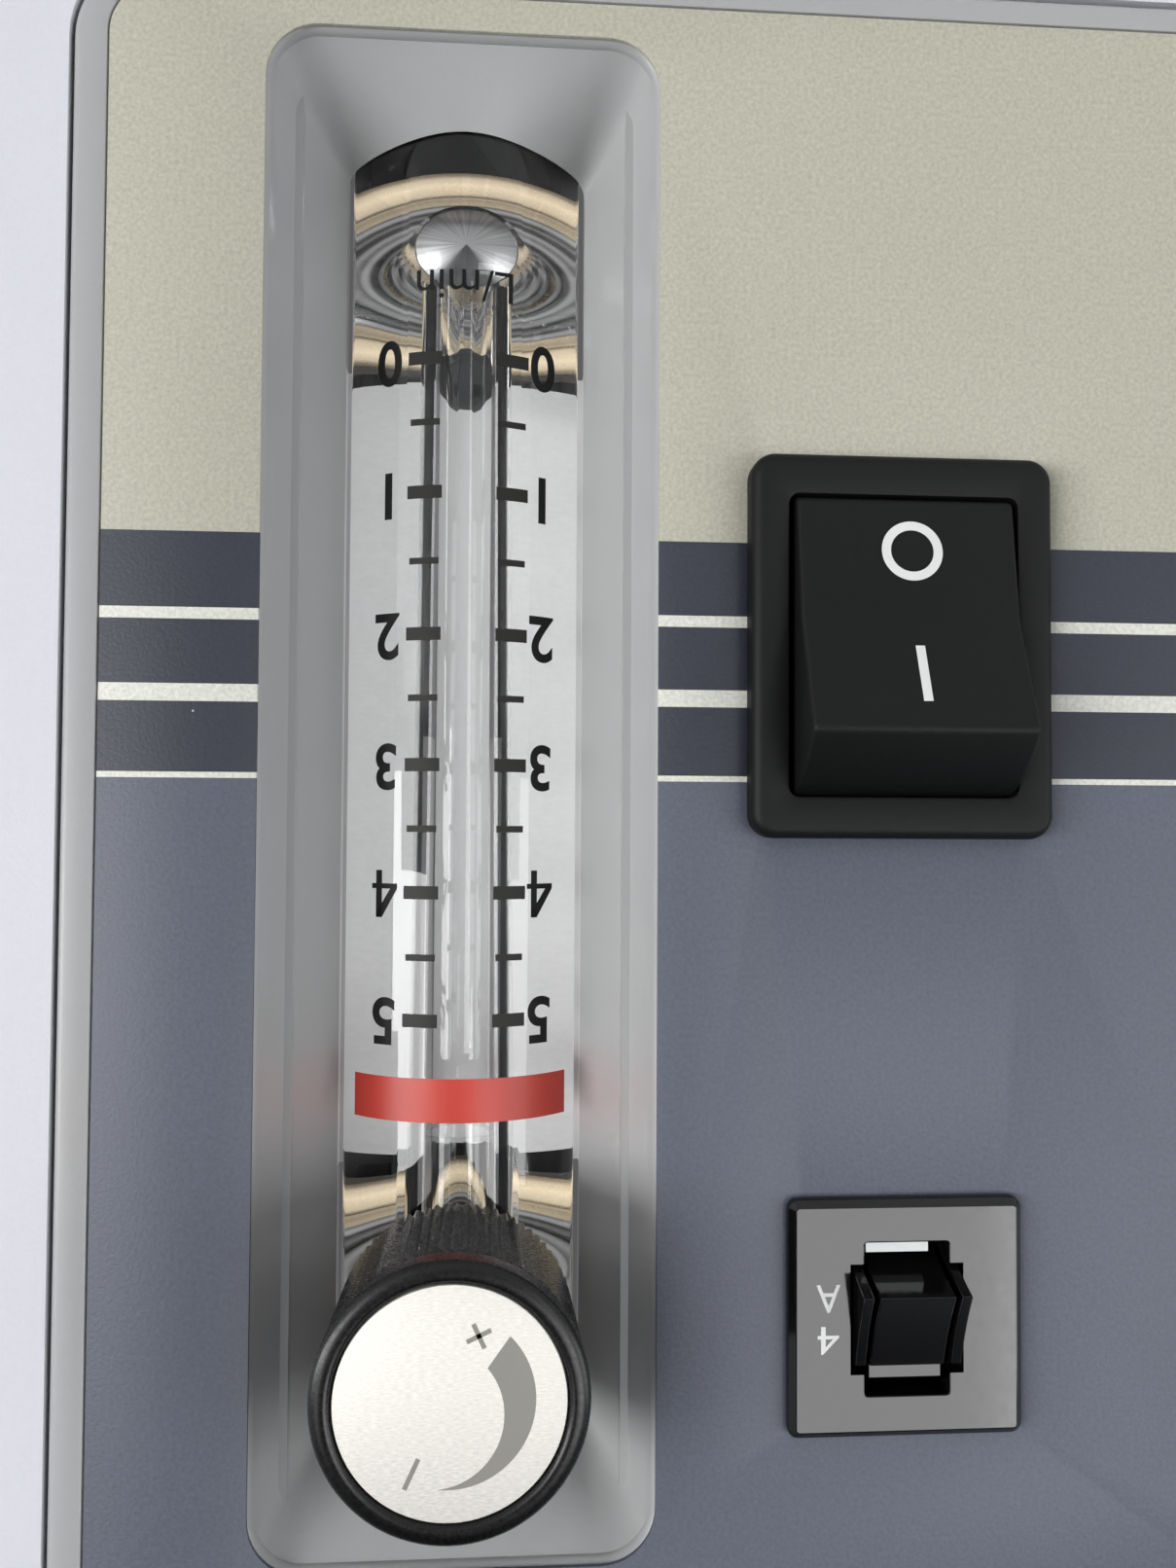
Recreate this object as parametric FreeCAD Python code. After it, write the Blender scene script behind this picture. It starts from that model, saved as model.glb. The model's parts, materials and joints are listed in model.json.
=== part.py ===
import FreeCAD, Part
import math
import os
from FreeCAD import Placement
from FreeCAD import Rotation
from FreeCAD import Vector

# Stationary oxygen concentrator. Millimetres, +X right, +Y into the machine, +Z up.
# Origin: centre of the footprint, on the floor. The front faces -Y.

# ---- cabinet -------------------------------------------------------------------------
cabinet_w = 350.0
cabinet_d = 310.0
cabinet_h = 560.0           # base tray and covers, without casters
caster_h = 60.0
wall = 3.0
corner_r = 30.0
top_r = 16.0
tray_h = 26.0
tray_slot_len = 80.0
tray_slot_pitch = 9.0
seam_gap = 0.4
knob_proud = 12.0           # knob face in front of the control panel

front_y = -(cabinet_d - knob_proud) / 2
rear_y = front_y + cabinet_d
seam_y = (front_y + rear_y) / 2
side_x = cabinet_w / 2
base_z = caster_h
cover_z = base_z + tray_h
top_z = base_z + cabinet_h
floor_z = base_z + wall     # inner floor of the base tray
fit_gap = 0.3               # between pieces that sit in one another
seat_lap = 6.0              # flange that overlaps a window from inside

# ---- control panel: places are measured from the panel's centre --------------------
panel_w = 105.3
panel_h = 137.0
panel_r = 7.0
panel_below_top = 42.0
panel_flange_t = 2.0
panel_z = top_z - panel_below_top - panel_h / 2
overlay_margin_x = 2.67
overlay_margin_z = 2.2
overlay_t = 0.35
overlay_pocket = 0.4
overlay_y = front_y + overlay_pocket - overlay_t

# ---- flowmeter -----------------------------------------------------------------------
flow_x = 21.3
recess_w = 31.5
recess_h = 123.3
recess_dz = -1.35
recess_r = 4.0
recess_depth = 10.1
recess_end_run = 7.1        # along the panel, from the rim to an end wall's foot
recess_wall = 1.8
block_w = 20.0
block_len = 123.0
block_dz = -2.6
block_front_r = 12.0
block_bulge = block_front_r - math.sqrt(block_front_r ** 2 - (block_w / 2) ** 2)
block_nose = recess_depth - block_bulge     # depth of the convex front's apex
block_back = 22.5           # depth of the block's back
block_gap = 0.6             # beside the block, in the recess
arch_gap = 0.2              # over the block's front, where it goes under the end walls
arch_lap = 0.6              # an end wall's foot is this far below the block's front
bore_depth = 15.0           # float bore axis behind the panel face
bore_low_r = 2.8
bore_high_r = 3.5
port_r = 3.6
port_point = 0.45           # a drill point's length over its radius
inlet_dz = -49.1
float_r = bore_low_r - 0.05
float_zero_dz = -37.94
float_travel = 61.0
stop_len = 4.0
knob_dz = 42.55
knob_r = 10.0
knob_base_r = 9.6
knob_ribs = 60
rib_depth = 0.35
knob_ring = 2.6
disc_r = 8.3
disc_t = 0.5
valve_turns = 4.0
valve_pitch = 0.5
valve_travel = valve_turns * valve_pitch
bushing_r = 5.0
bushing_flange_r = 7.5
bushing_flange_t = 1.0
spigot_r = 4.0
spigot_end = 4.0            # in front of the panel face
needle_r = 2.0
seat_r = 1.2
seat_depth = bore_depth + bore_high_r + 0.4
stub_engaged = 1.9
run_gap = 0.05              # radial clearance of running fits
stub_r = 3.2
stub_len = 14.0
stub_hex = 13.0
stub_hex_t = 5.0
collar_r = 9.4
collar_t = 1.4
seal_r = 6.4                # seal groove in the collar's face
seal_t = 0.8

# ---- rocker switch -------------------------------------------------------------------
switch_x = -14.6
switch_dz = -12.95
switch_w = 25.0
switch_h = 31.3
switch_r = 2.0
switch_proud = 2.3
switch_body_w = 22.0
switch_body_h = 28.8
switch_body_d = 22.0
switch_open_w = 18.9
switch_open_h = 24.5
rocker_w = 17.9
rocker_r = 12.7
rocker_edge_h = 8.0         # rocker's outer edges above its pivot
rocker_dip = 1.3            # crease between the two faces
rocker_pivot_depth = 2.3
rocker_tilt = 16.5          # each way from the middle
trunnion_r = 1.5
trunnion_len = 0.9

# ---- circuit breaker -----------------------------------------------------------------
breaker_x = -15.0
breaker_dz = 41.3
breaker_w = 19.3
breaker_h = 19.0
breaker_proud = 1.2
breaker_bevel = 0.6
breaker_r = 0.9
breaker_body_w = 16.4
breaker_body_h = 16.8
breaker_body_d = 24.0
slot_w = 7.0
slot_h = 12.2
toggle_w = 6.1
toggle_ridge_h = 7.75
toggle_edge_z = 4.93
toggle_edge_h = 2.5
toggle_foot_z = 5.89
toggle_foot_h = 1.5
toggle_step = 0.6
toggle_hollow = 0.25
toggle_root = -2.5
toggle_pivot_depth = 3.0
toggle_tilt = 20.4
toggle_pin_r = 1.0
ear_t = 0.85
ear_z = 4.87
ear_h = 3.04

# ---- oxygen outlet -------------------------------------------------------------------
outlet_r = 7.15
outlet_len = 12.0
outlet_bore_r = 2.5
outlet_tail = 26.0          # barbed tail behind the cup
outlet_hex = 19.0
outlet_hex_t = 4.0
cup_r = 21.0
cup_depth = 17.0
cup_below_panel = 37.0
outlet_z = panel_z - panel_h / 2 - cup_below_panel

# ---- humidifier niche ----------------------------------------------------------------
niche_w = 118.0
niche_h = 205.0
niche_d = 74.0
niche_r = 22.0
niche_wall = 2.5
niche_below_cup = 20.0
niche_top = outlet_z - cup_r - niche_below_cup
niche_z = niche_top - niche_h / 2

# ---- carry handle --------------------------------------------------------------------
grip_w = 150.0
grip_d = 74.0
grip_h = 40.0
grip_r = 14.0
grip_wall = 2.5
grip_y = seam_y + 70.0
bar_d = 24.0
bar_h = 16.0

# ---- rear: intake grille, mains inlet, exhaust louvres ------------------------------
intake_w = 150.0
intake_h = 100.0
intake_z = top_z - 115.0
intake_r = 6.0
intake_depth = 16.0
slat_t = 2.0
slat_pitch = 10.0
foam_t = 9.0
mains_x = -side_x + 67.0
mains_above_base = 62.0
mains_z = base_z + mains_above_base
mains_w = 27.0
mains_h = 19.6
mains_flange = 1.6
mains_lip = 2.5
mains_depth = 19.0
pin_pitch = 7.0
louvre_w = 120.0
louvre_x = side_x - 45.0 - louvre_w / 2
louvre_above_base = 86.0
louvre_z = base_z + louvre_above_base
louvre_t = 5.0
louvre_pitch = 11.0
louvre_count = 8
screw_r = 4.0
screw_head_t = 2.2
screw_shank_r = 1.9
screw_shank = 12.0

# ---- casters -------------------------------------------------------------------------
wheel_r = 24.0
wheel_w = 18.0
axle_r = 4.0
trail = 16.0
caster_in_x = 42.0          # swivel axis inside the cabinet's side
caster_in_y = 44.0
plate_w = 44.0
plate_t = 2.5
race_r = 15.0
race_t = 4.0
fork_t = 2.5
fork_side = 1.2             # between wheel and fork cheek

# ---- inside --------------------------------------------------------------------------
bed_r = 36.0
bed_len = 340.0
bed_x = -side_x + wall + 10.0 + bed_r
bed_pitch = 78.0
bed_y = rear_y - wall - 28.0 - bed_r
cap_t = 16.0
cap_lip = 1.5
soundbox_left = bed_x + bed_r + cap_lip + 1.5
soundbox_right = side_x - wall - 9.0
soundbox_front = front_y + niche_d + niche_wall + 4.5
soundbox_rear = rear_y - wall - 14.0
soundbox_x = (soundbox_left + soundbox_right) / 2
soundbox_y = (soundbox_front + soundbox_rear) / 2
soundbox_w = soundbox_right - soundbox_left
soundbox_h = 250.0
soundbox_wall = 6.0
shaft_r = 6.0
shaft_len = soundbox_w - 2 * soundbox_wall - 14.0
shaft_end = 7.0             # shaft beyond each vane wheel
vane_r = 46.0
vane_t = 14.0
vane_gap = 3.0
hub_r = 14.0
motor_r = 52.0
crank_len = 40.0
crank_w = 82.0
motor_len = shaft_len - 2 * (crank_len + vane_gap + vane_t + shaft_end)
head_w = 66.0
head_h = 46.0
head_t = 14.0
mount_r = 12.0
mount_h = 51.0
mount_y = 24.0
motor_z = floor_z + soundbox_wall + mount_h + crank_w / 2
fan_size = 119.0
fan_x = soundbox_x - 20.0
board_w = 110.0
board_d = 38.0
board_t = 1.6
board_y = soundbox_front + 4.0
fan_y = board_y + board_d + 4.5 + fan_size / 2
fan_t = 38.0
fan_hub_r = 30.0
fan_blade_r = 54.0
fan_blades = 7
fan_z = floor_z + soundbox_h
manifold_h = 28.0
manifold_x = 28.0           # half its width
manifold_end = 26.0         # beyond each bed's axis
valve_r = 11.0
valve_h = 40.0
valve_step = 34.0
filter_r = 26.0
filter_len = 70.0
muffler_r = 12.0
muffler_len = 90.0
capacitor_r = 20.0
capacitor_len = 76.0
standoff = 10.0
hose_r = 4.0


# ---- shape helpers -------------------------------------------------------------------
def block(x0, x1, y0, y1, z0, z1):
    return Part.makeBox(x1 - x0, y1 - y0, z1 - z0, Vector(x0, y0, z0))


def rod(start, axis, length, radius):
    return Part.makeCylinder(radius, length, Vector(*start), Vector(*axis))


def along(edge, axis):
    """True for a straight edge that runs along the axis."""
    if not isinstance(edge.Curve, Part.Line):
        return False
    return abs(abs(edge.Curve.Direction.dot(Vector(*axis))) - 1) < 1e-6


def round_block(x0, x1, y0, y1, z0, z1, radius, axis):
    """A block whose four edges along the axis are rounded."""
    shape = block(x0, x1, y0, y1, z0, z1)
    edges = [edge for edge in shape.Edges if along(edge, axis)]
    return shape.makeFillet(radius, edges)


def front_slab(x, z, width, height, y0, y1, radius):
    """A rounded rectangle in the XZ plane, from y0 to y1."""
    return round_block(x - width / 2, x + width / 2, y0, y1,
                       z - height / 2, z + height / 2, radius, (0, 1, 0))


def front_outline(x, z, width, height, radius, y):
    """A rounded rectangle wire in the XZ plane at y."""
    slab = front_slab(x, z, width, height, y, y + 1, radius)
    for face in slab.Faces:
        if abs(face.CenterOfMass.y - y) < 1e-6:
            return face.OuterWire
    return None


def prism(points, direction):
    """A polygon pushed along a direction."""
    corners = [Vector(*point) for point in points]
    return Part.Face(Part.makePolygon(corners + corners[:1])).extrude(Vector(*direction))


def turned(profile, centre, axis):
    """Revolve (radius, height) pairs about an axis through the centre."""
    corners = [Vector(radius, 0, height) for radius, height in profile]
    face = Part.Face(Part.makePolygon(corners + corners[:1]))
    solid = face.revolve(Vector(0, 0, 0), Vector(0, 0, 1), 360)
    solid.Placement = Placement(Vector(*centre), Rotation(Vector(0, 0, 1), Vector(*axis)))
    return solid


def hexagon(centre, axis, across, length):
    """A hexagonal prism with the given width across its flats."""
    radius = across / math.sqrt(3)
    corners = []
    for index in range(6):
        angle = math.radians(60 * index)
        corners.append(Vector(radius * math.cos(angle), radius * math.sin(angle), 0))
    solid = Part.Face(Part.makePolygon(corners + corners[:1])).extrude(Vector(0, 0, length))
    solid.Placement = Placement(Vector(*centre), Rotation(Vector(0, 0, 1), Vector(*axis)))
    return solid


def fuse_all(shapes):
    result = shapes[0]
    for shape in shapes[1:]:
        result = result.fuse(shape)
    return result.removeSplitter()


def cut_all(shape, tools):
    for tool in tools:
        shape = shape.cut(tool)
    return shape


def hose(points, radius):
    """A tube of straight runs joined by tangent arcs."""
    path = [Vector(*point) for point in points]
    edges = []
    start = path[0]
    for before, corner, after in zip(path, path[1:], path[2:]):
        into = (corner - before).normalize()
        out = (after - corner).normalize()
        shorter = min((corner - before).Length, (after - corner).Length)
        back = 0.45 * shorter
        first = corner - into * back
        last = corner + out * back
        middle_dir = (out - into).normalize()
        turn = into.getAngle(out)
        bend = back / math.tan(turn / 2)
        middle = corner + middle_dir * (bend / math.cos(turn / 2) - bend)
        edges.append(Part.LineSegment(start, first).toShape())
        edges.append(Part.Arc(first, middle, last).toShape())
        start = last
    edges.append(Part.LineSegment(start, path[-1]).toShape())
    wire = Part.Wire(edges)
    ring = Part.Face(Part.Wire(Part.makeCircle(radius, path[0], path[1] - path[0])))
    return wire.makePipe(ring)


# ---- cabinet -------------------------------------------------------------------------
def skin(inset, z0):
    """The cabinet's outer form, inset all round, from z0 to its rounded top."""
    high = top_z - inset
    shape = round_block(-side_x + inset, side_x - inset, front_y + inset, rear_y - inset,
                        z0, high, corner_r - inset, (0, 0, 1))
    rim = []
    for edge in shape.Edges:
        if abs(edge.BoundBox.ZMin - high) < 1e-6:
            rim.append(edge)
    return shape.makeFillet(top_r - inset, rim)


def cover_shell():
    return skin(0, cover_z).cut(skin(wall, cover_z - wall))


def tongue():
    """The front cover's inner lip, which locates the rear cover."""
    lap = 6.0
    far = side_x * 2
    reach = block(-far, far, seam_y - lap, seam_y + lap, cover_z + lap + fit_gap, top_z)
    root = block(-far, far, seam_y - lap, seam_y - seam_gap / 2,
                 cover_z + lap + fit_gap, top_z)
    lip = wall + fit_gap + 2.0
    inner = skin(lip, cover_z - wall)
    free = skin(wall + fit_gap, cover_z - wall).cut(inner).common(reach)
    held = skin(wall, cover_z - wall).cut(inner).common(root)
    return held.fuse(free)


def front_cover():
    far = side_x * 2
    half = block(-far, far, front_y - far, seam_y - seam_gap / 2, base_z, top_z + far)
    shape = cover_shell().common(half)
    window = front_slab(0, panel_z, panel_w + 2 * fit_gap, panel_h + 2 * fit_gap,
                        front_y - 1, front_y + wall + 1, panel_r + fit_gap)
    cup_hole = rod((0, front_y - 1, outlet_z), (0, 1, 0), wall + 2, cup_r)
    niche_hole = front_slab(0, niche_z, niche_w + 2 * fit_gap, niche_h + 2 * fit_gap,
                            front_y - 1, front_y + wall + 1, niche_r + fit_gap)
    return cut_all(shape, [window, cup_hole, niche_hole]).fuse(tongue())


def screw_places():
    places = []
    for x in (-side_x + 26.0, side_x - 26.0):
        for z in (cover_z + 22.0, (cover_z + top_z) / 2, top_z - 42.0):
            places.append((x, z))
    return places


def rear_cover():
    far = side_x * 2
    half = block(-far, far, seam_y + seam_gap / 2, rear_y + far, base_z, top_z + far)
    shape = cover_shell().common(half)
    inner_y = rear_y - wall
    for x, z in screw_places():
        shape = shape.fuse(rod((x, inner_y - 8, z), (0, 1, 0), 8, screw_r + 4))
    frame = front_slab(0, intake_z, intake_w + 2 * seat_lap, intake_h + 2 * seat_lap,
                       rear_y - intake_depth - wall, inner_y, intake_r + seat_lap)
    shape = shape.fuse(frame)
    tools = []
    for x, z in screw_places():
        tools.append(rod((x, rear_y - 4, z), (0, 1, 0), 5, screw_r + 1))
        tools.append(rod((x, rear_y - 20, z), (0, 1, 0), 20, screw_shank_r + 0.2))
    tools.append(front_slab(0, intake_z, intake_w, intake_h,
                            rear_y - intake_depth, rear_y + 1, intake_r))
    for column in range(-2, 3):
        for row in (-1.5, -0.5, 0.5, 1.5):
            x = column * intake_w * 0.19
            z = intake_z + row * intake_h * 0.23
            tools.append(block(x - intake_w * 0.08, x + intake_w * 0.08,
                               rear_y - intake_depth - wall - 1, rear_y,
                               z - intake_h * 0.1, z + intake_h * 0.1))
    tools.append(mains_outline(fit_gap, inner_y - 1, rear_y + 1))
    tools.append(mains_plate(fit_gap, rear_y + 1))
    for row in range(louvre_count):
        z = louvre_z + (row - (louvre_count - 1) / 2) * louvre_pitch
        tools.append(front_slab(louvre_x, z, louvre_w, louvre_t, inner_y - 1, rear_y + 1,
                                louvre_t / 2 - 0.1))
    grip = grip_slab(grip_w + 2 * fit_gap, grip_d + 2 * fit_gap, top_z - wall - 1,
                     top_z + 1, grip_r + fit_gap)
    tools.append(grip)
    return cut_all(shape, tools)


def base_tray():
    shape = round_block(-side_x, side_x, front_y, rear_y, base_z, cover_z, corner_r,
                        (0, 0, 1))
    rim = [edge for edge in shape.Edges if abs(edge.BoundBox.ZMax - base_z) < 1e-6]
    shape = shape.makeFillet(5.0, rim)
    pocket = round_block(-side_x + wall, side_x - wall, front_y + wall, rear_y - wall,
                         floor_z, cover_z + 1, corner_r - wall, (0, 0, 1))
    shape = shape.cut(pocket)
    inset = wall + fit_gap
    lip = inset + 2.0
    outer = round_block(-side_x + inset, side_x - inset, front_y + inset, rear_y - inset,
                        cover_z - 4, cover_z + 6, corner_r - inset, (0, 0, 1))
    inner = round_block(-side_x + lip, side_x - lip, front_y + lip, rear_y - lip,
                        cover_z - 5, cover_z + 7, corner_r - lip, (0, 0, 1))
    root = round_block(-side_x + wall, side_x - wall, front_y + wall, rear_y - wall,
                       cover_z - 4, cover_z, corner_r - wall, (0, 0, 1))
    shape = shape.fuse(outer.fuse(root).cut(inner))
    x = side_x - 65.0
    for row in range(6):
        y = seam_y - 26.0 - row * tray_slot_pitch
        shape = shape.cut(round_block(x - tray_slot_len, x, y - 2, y + 2, base_z - 1,
                                      floor_z + 1, 1.9, (0, 0, 1)))
    return shape


def cover_screws():
    screws = []
    for x, z in screw_places():
        profile = [(0, 0), (screw_shank_r, 0), (screw_shank_r, screw_shank),
                   (screw_r, screw_shank), (screw_r, screw_shank + screw_head_t * 0.6),
                   (screw_r * 0.7, screw_shank + screw_head_t),
                   (0, screw_shank + screw_head_t)]
        screws.append(turned(profile, (x, rear_y - 4 - screw_shank, z), (0, 1, 0)))
    return screws


# ---- carry handle --------------------------------------------------------------------
def grip_slab(width, depth, z0, z1, radius):
    return round_block(-width / 2, width / 2, grip_y - depth / 2, grip_y + depth / 2,
                       z0, z1, radius, (0, 0, 1))


def grip_tub():
    shape = grip_slab(grip_w, grip_d, top_z - grip_h, top_z, grip_r)
    flange = grip_slab(grip_w + 2 * seat_lap, grip_d + 2 * seat_lap, top_z - wall - 2,
                       top_z - wall, grip_r + seat_lap)
    hollow = grip_slab(grip_w - 2 * grip_wall, grip_d - 2 * grip_wall,
                       top_z - grip_h + grip_wall, top_z + 1, grip_r - grip_wall)
    return shape.fuse(flange).cut(hollow)


def grip_bar():
    half = grip_w / 2 - grip_wall
    return round_block(-half, half, grip_y - bar_d / 2, grip_y + bar_d / 2,
                       top_z - 1 - bar_h, top_z - 1, bar_h * 0.42, (1, 0, 0))


# ---- front fittings ------------------------------------------------------------------
def outlet_cup():
    lip_r = cup_r - fit_gap
    profile = [(6.4, -cup_depth - 2), (lip_r - 3, -cup_depth - 2), (lip_r, -wall - 2),
               (cup_r + seat_lap, -wall - 2), (cup_r + seat_lap, -wall), (lip_r, -wall),
               (lip_r, 0), (lip_r - 1, 0.6), (lip_r - 2, 0), (lip_r - 5, -cup_depth),
               (6.4, -cup_depth)]
    return turned(profile, (0, front_y, outlet_z), (0, -1, 0))


def outlet_fitting():
    seat = (0, front_y + cup_depth, outlet_z)
    hexed = hexagon(seat, (0, -1, 0), outlet_hex, outlet_hex_t)
    root = outlet_hex_t
    tip = outlet_hex_t + outlet_len
    stub = turned([(0, root), (outlet_r, root), (outlet_r, tip), (0, tip)], seat,
                  (0, -1, 0))
    end = -outlet_tail
    tail = turned([(0, 0), (0, end), (3.0, end), (3.4, end + 2), (3.0, end + 4),
                   (3.4, end + 6), (3.0, end + 8), (3.0, -12), (6.0, -12), (6.0, 0)],
                  seat, (0, -1, 0))
    bore = rod((0, front_y - 1, outlet_z), (0, 1, 0), cup_depth + outlet_tail + 4,
               outlet_bore_r)
    return fuse_all([hexed, stub, tail]).cut(bore)


def outlet_nut():
    start = (0, front_y + cup_depth + 2, outlet_z)
    return hexagon(start, (0, 1, 0), 17.0, 4.0).cut(rod(start, (0, 1, 0), 4.0, 6.05))


def humidifier_niche():
    back = front_y + niche_d
    shape = front_slab(0, niche_z, niche_w, niche_h, front_y, back + niche_wall, niche_r)
    flange = front_slab(0, niche_z, niche_w + 2 * seat_lap, niche_h + 2 * seat_lap,
                        front_y + wall, front_y + wall + 2, niche_r + seat_lap)
    hollow = front_slab(0, niche_z, niche_w - 2 * niche_wall, niche_h - 2 * niche_wall,
                        front_y - 1, back, niche_r - niche_wall)
    rim = [edge for edge in hollow.Edges if abs(edge.BoundBox.YMin - back) < 1e-6]
    hollow = hollow.makeFillet(8.0, rim)
    return shape.fuse(flange).cut(hollow)


# ---- control panel -------------------------------------------------------------------
def panel_point(x, depth, dz):
    """A point by its place on the panel and its depth behind the panel's face."""
    return (x, front_y + depth, panel_z + dz)


def flow_section(gap, nose_gap, z0, z1):
    """The acrylic block's section, grown at its sides and its nose, between two heights."""
    half = block_w / 2 + gap
    nose = front_y + block_nose - nose_gap
    shoulder = front_y + recess_depth - nose_gap
    back = front_y + block_back + gap
    left = Vector(flow_x - half, shoulder, z0)
    right = Vector(flow_x + half, shoulder, z0)
    front = Part.Arc(left, Vector(flow_x, nose, z0), right).toShape()
    rear_right = Vector(flow_x + half, back, z0)
    rear_left = Vector(flow_x - half, back, z0)
    sides = Part.makePolygon([right, rear_right, rear_left, left])
    return Part.Face(Part.Wire([front] + sides.Edges)).extrude(Vector(0, 0, z1 - z0))


def block_span():
    middle = panel_z + block_dz
    return middle - block_len / 2, middle + block_len / 2


def recess_shell():
    """The outside of the recess's walls."""
    z = panel_z + recess_dz
    grow = recess_wall
    floor_w = block_w + 2 * block_gap
    floor_h = recess_h - 2 * recess_end_run
    face = front_outline(flow_x, z, recess_w + 2 * grow, recess_h + 2 * grow,
                         recess_r + grow, front_y)
    floor = front_outline(flow_x, z, floor_w + 2 * grow, floor_h + 2 * grow,
                          1.0 + grow, front_y + recess_depth)
    return Part.makeLoft([face, floor], True, True)


def recess_section(z, share):
    """The recess across its height; share is 1 at an end wall's foot, 0 at its rim."""
    rim = recess_w / 2
    foot = rim + (block_w / 2 + block_gap - rim) * share
    edge = front_y + (recess_depth + arch_lap) * share
    crown = front_y + (block_nose + arch_lap) * share
    left = Vector(flow_x - foot, edge, z)
    right = Vector(flow_x + foot, edge, z)
    front = Part.Arc(left, Vector(flow_x, crown, z), right).toShape()
    before = front_y - 1
    points = [right, Vector(flow_x + rim, front_y, z), Vector(flow_x + rim, before, z),
              Vector(flow_x - rim, before, z), Vector(flow_x - rim, front_y, z), left]
    return Part.Wire([front] + Part.makePolygon(points).Edges)


def recess_room():
    """The recess: sides slope in to the block, ends run in to the block's convex front."""
    z = panel_z + recess_dz
    end = recess_h / 2
    foot = end - recess_end_run
    sections = [recess_section(z - end, 0.004), recess_section(z - foot, 1),
                recess_section(z + foot, 1), recess_section(z + end, 0.004)]
    form = Part.makeLoft(sections, True, True)
    return form.common(front_slab(flow_x, z, recess_w, recess_h, front_y - 1,
                                  front_y + block_back, recess_r))


def panel_bezel():
    slab = front_slab(0, panel_z, panel_w, panel_h, front_y, front_y + wall + 1, panel_r)
    rim = [edge for edge in slab.Edges if abs(edge.BoundBox.YMax - front_y) < 1e-6]
    slab = slab.makeFillet(0.5, rim)
    flange = front_slab(0, panel_z, panel_w + 2 * seat_lap, panel_h + 2 * seat_lap,
                        front_y + wall, front_y + wall + panel_flange_t,
                        panel_r + seat_lap)
    low, high = block_span()
    sleeve = block(flow_x - block_w / 2 - block_gap - recess_wall,
                   flow_x + block_w / 2 + block_gap + recess_wall,
                   front_y + 4, front_y + recess_depth + 6,
                   low - block_gap - recess_wall, high + block_gap + recess_wall)
    shape = fuse_all([slab, flange, recess_shell(), sleeve])
    room = flow_section(block_gap, arch_gap, low - block_gap, high + block_gap)
    tools = [recess_room(), room]
    tools.append(front_slab(0, panel_z, panel_w - 2 * overlay_margin_x,
                            panel_h - 2 * overlay_margin_z, front_y - 1,
                            front_y + overlay_pocket, panel_r - overlay_margin_x))
    tools.append(switch_opening(front_y, front_y + 20))
    tools.append(breaker_opening(front_y, front_y + 20))
    return cut_all(shape, tools)


def switch_opening(y0, y1):
    return front_slab(switch_x, panel_z + switch_dz, switch_body_w + 2 * fit_gap,
                      switch_body_h + 2 * fit_gap, y0, y1, 1.0)


def breaker_opening(y0, y1):
    return front_slab(breaker_x, panel_z + breaker_dz, breaker_body_w + 2 * fit_gap,
                      breaker_body_h + 2 * fit_gap, y0, y1, 0.6)


def panel_overlay():
    gap = 0.15
    low = overlay_y
    high = overlay_y + overlay_t
    film = front_slab(0, panel_z, panel_w - 2 * overlay_margin_x - 2 * gap,
                      panel_h - 2 * overlay_margin_z - 2 * gap, low, high,
                      panel_r - overlay_margin_x - gap)
    lip = 0.35
    recess = front_slab(flow_x, panel_z + recess_dz, recess_w + 2 * lip,
                        recess_h + 2 * lip, low - 1, high + 1, recess_r + lip)
    return cut_all(film, [recess, switch_opening(low - 1, high + 1),
                          breaker_opening(low - 1, high + 1)])


# ---- flowmeter -----------------------------------------------------------------------
def flow_block():
    low, high = block_span()
    shape = flow_section(0, 0, low, high)
    inlet_z = panel_z + inlet_dz
    valve_z = panel_z + knob_dz
    axis_y = front_y + bore_depth
    back = front_y + block_back
    bore = Part.makeCone(bore_low_r, bore_high_r, valve_z - inlet_z,
                         Vector(flow_x, axis_y, inlet_z), Vector(0, 0, 1))
    drill = rod((flow_x, axis_y, valve_z), (0, 0, 1), high - valve_z + 1, bore_high_r)
    inlet_depth = bore_depth - bore_low_r
    inlet = rod((flow_x, front_y + inlet_depth, inlet_z), (0, 1, 0),
                block_back - inlet_depth + 1, port_r)
    tip = Part.makeCone(port_r, 0, port_r * port_point,
                        Vector(flow_x, front_y + inlet_depth, inlet_z), Vector(0, -1, 0))
    outlet_t = stub_engaged + fit_gap
    outlet = rod((flow_x, back - outlet_t, valve_z), (0, 1, 0), outlet_t + 1, port_r)
    seat = rod((flow_x, axis_y, valve_z), (0, 1, 0), block_back - bore_depth, seat_r)
    chamber = rod((flow_x, front_y, valve_z), (0, 1, 0), seat_depth, bushing_r + run_gap)
    return cut_all(shape, [bore, drill, inlet, tip, outlet, seat, chamber])


def flow_plug():
    low, high = block_span()
    start = (flow_x, front_y + bore_depth, high - 7)
    return rod(start, (0, 0, 1), 7, bore_high_r - run_gap)


def float_stops():
    """Clear rings in the bore that end the float's travel."""
    inner = 1.6
    taper = (bore_high_r - bore_low_r) / (knob_dz - inlet_dz)
    contact = math.sqrt(float_r ** 2 - inner ** 2) + fit_gap
    zero = panel_z + float_zero_dz
    stops = []
    for z in (zero - contact - stop_len, zero + float_travel + contact):
        outer = bore_low_r + taper * (z - panel_z - inlet_dz) - run_gap
        profile = [(inner, 0), (outer, 0), (outer, stop_len), (inner, stop_len)]
        stops.append(turned(profile, (flow_x, front_y + bore_depth, z), (0, 0, 1)))
    return Part.makeCompound(stops)


def float_ball():
    centre = Vector(*panel_point(flow_x, bore_depth, float_zero_dz))
    return Part.makeSphere(float_r, centre)


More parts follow.
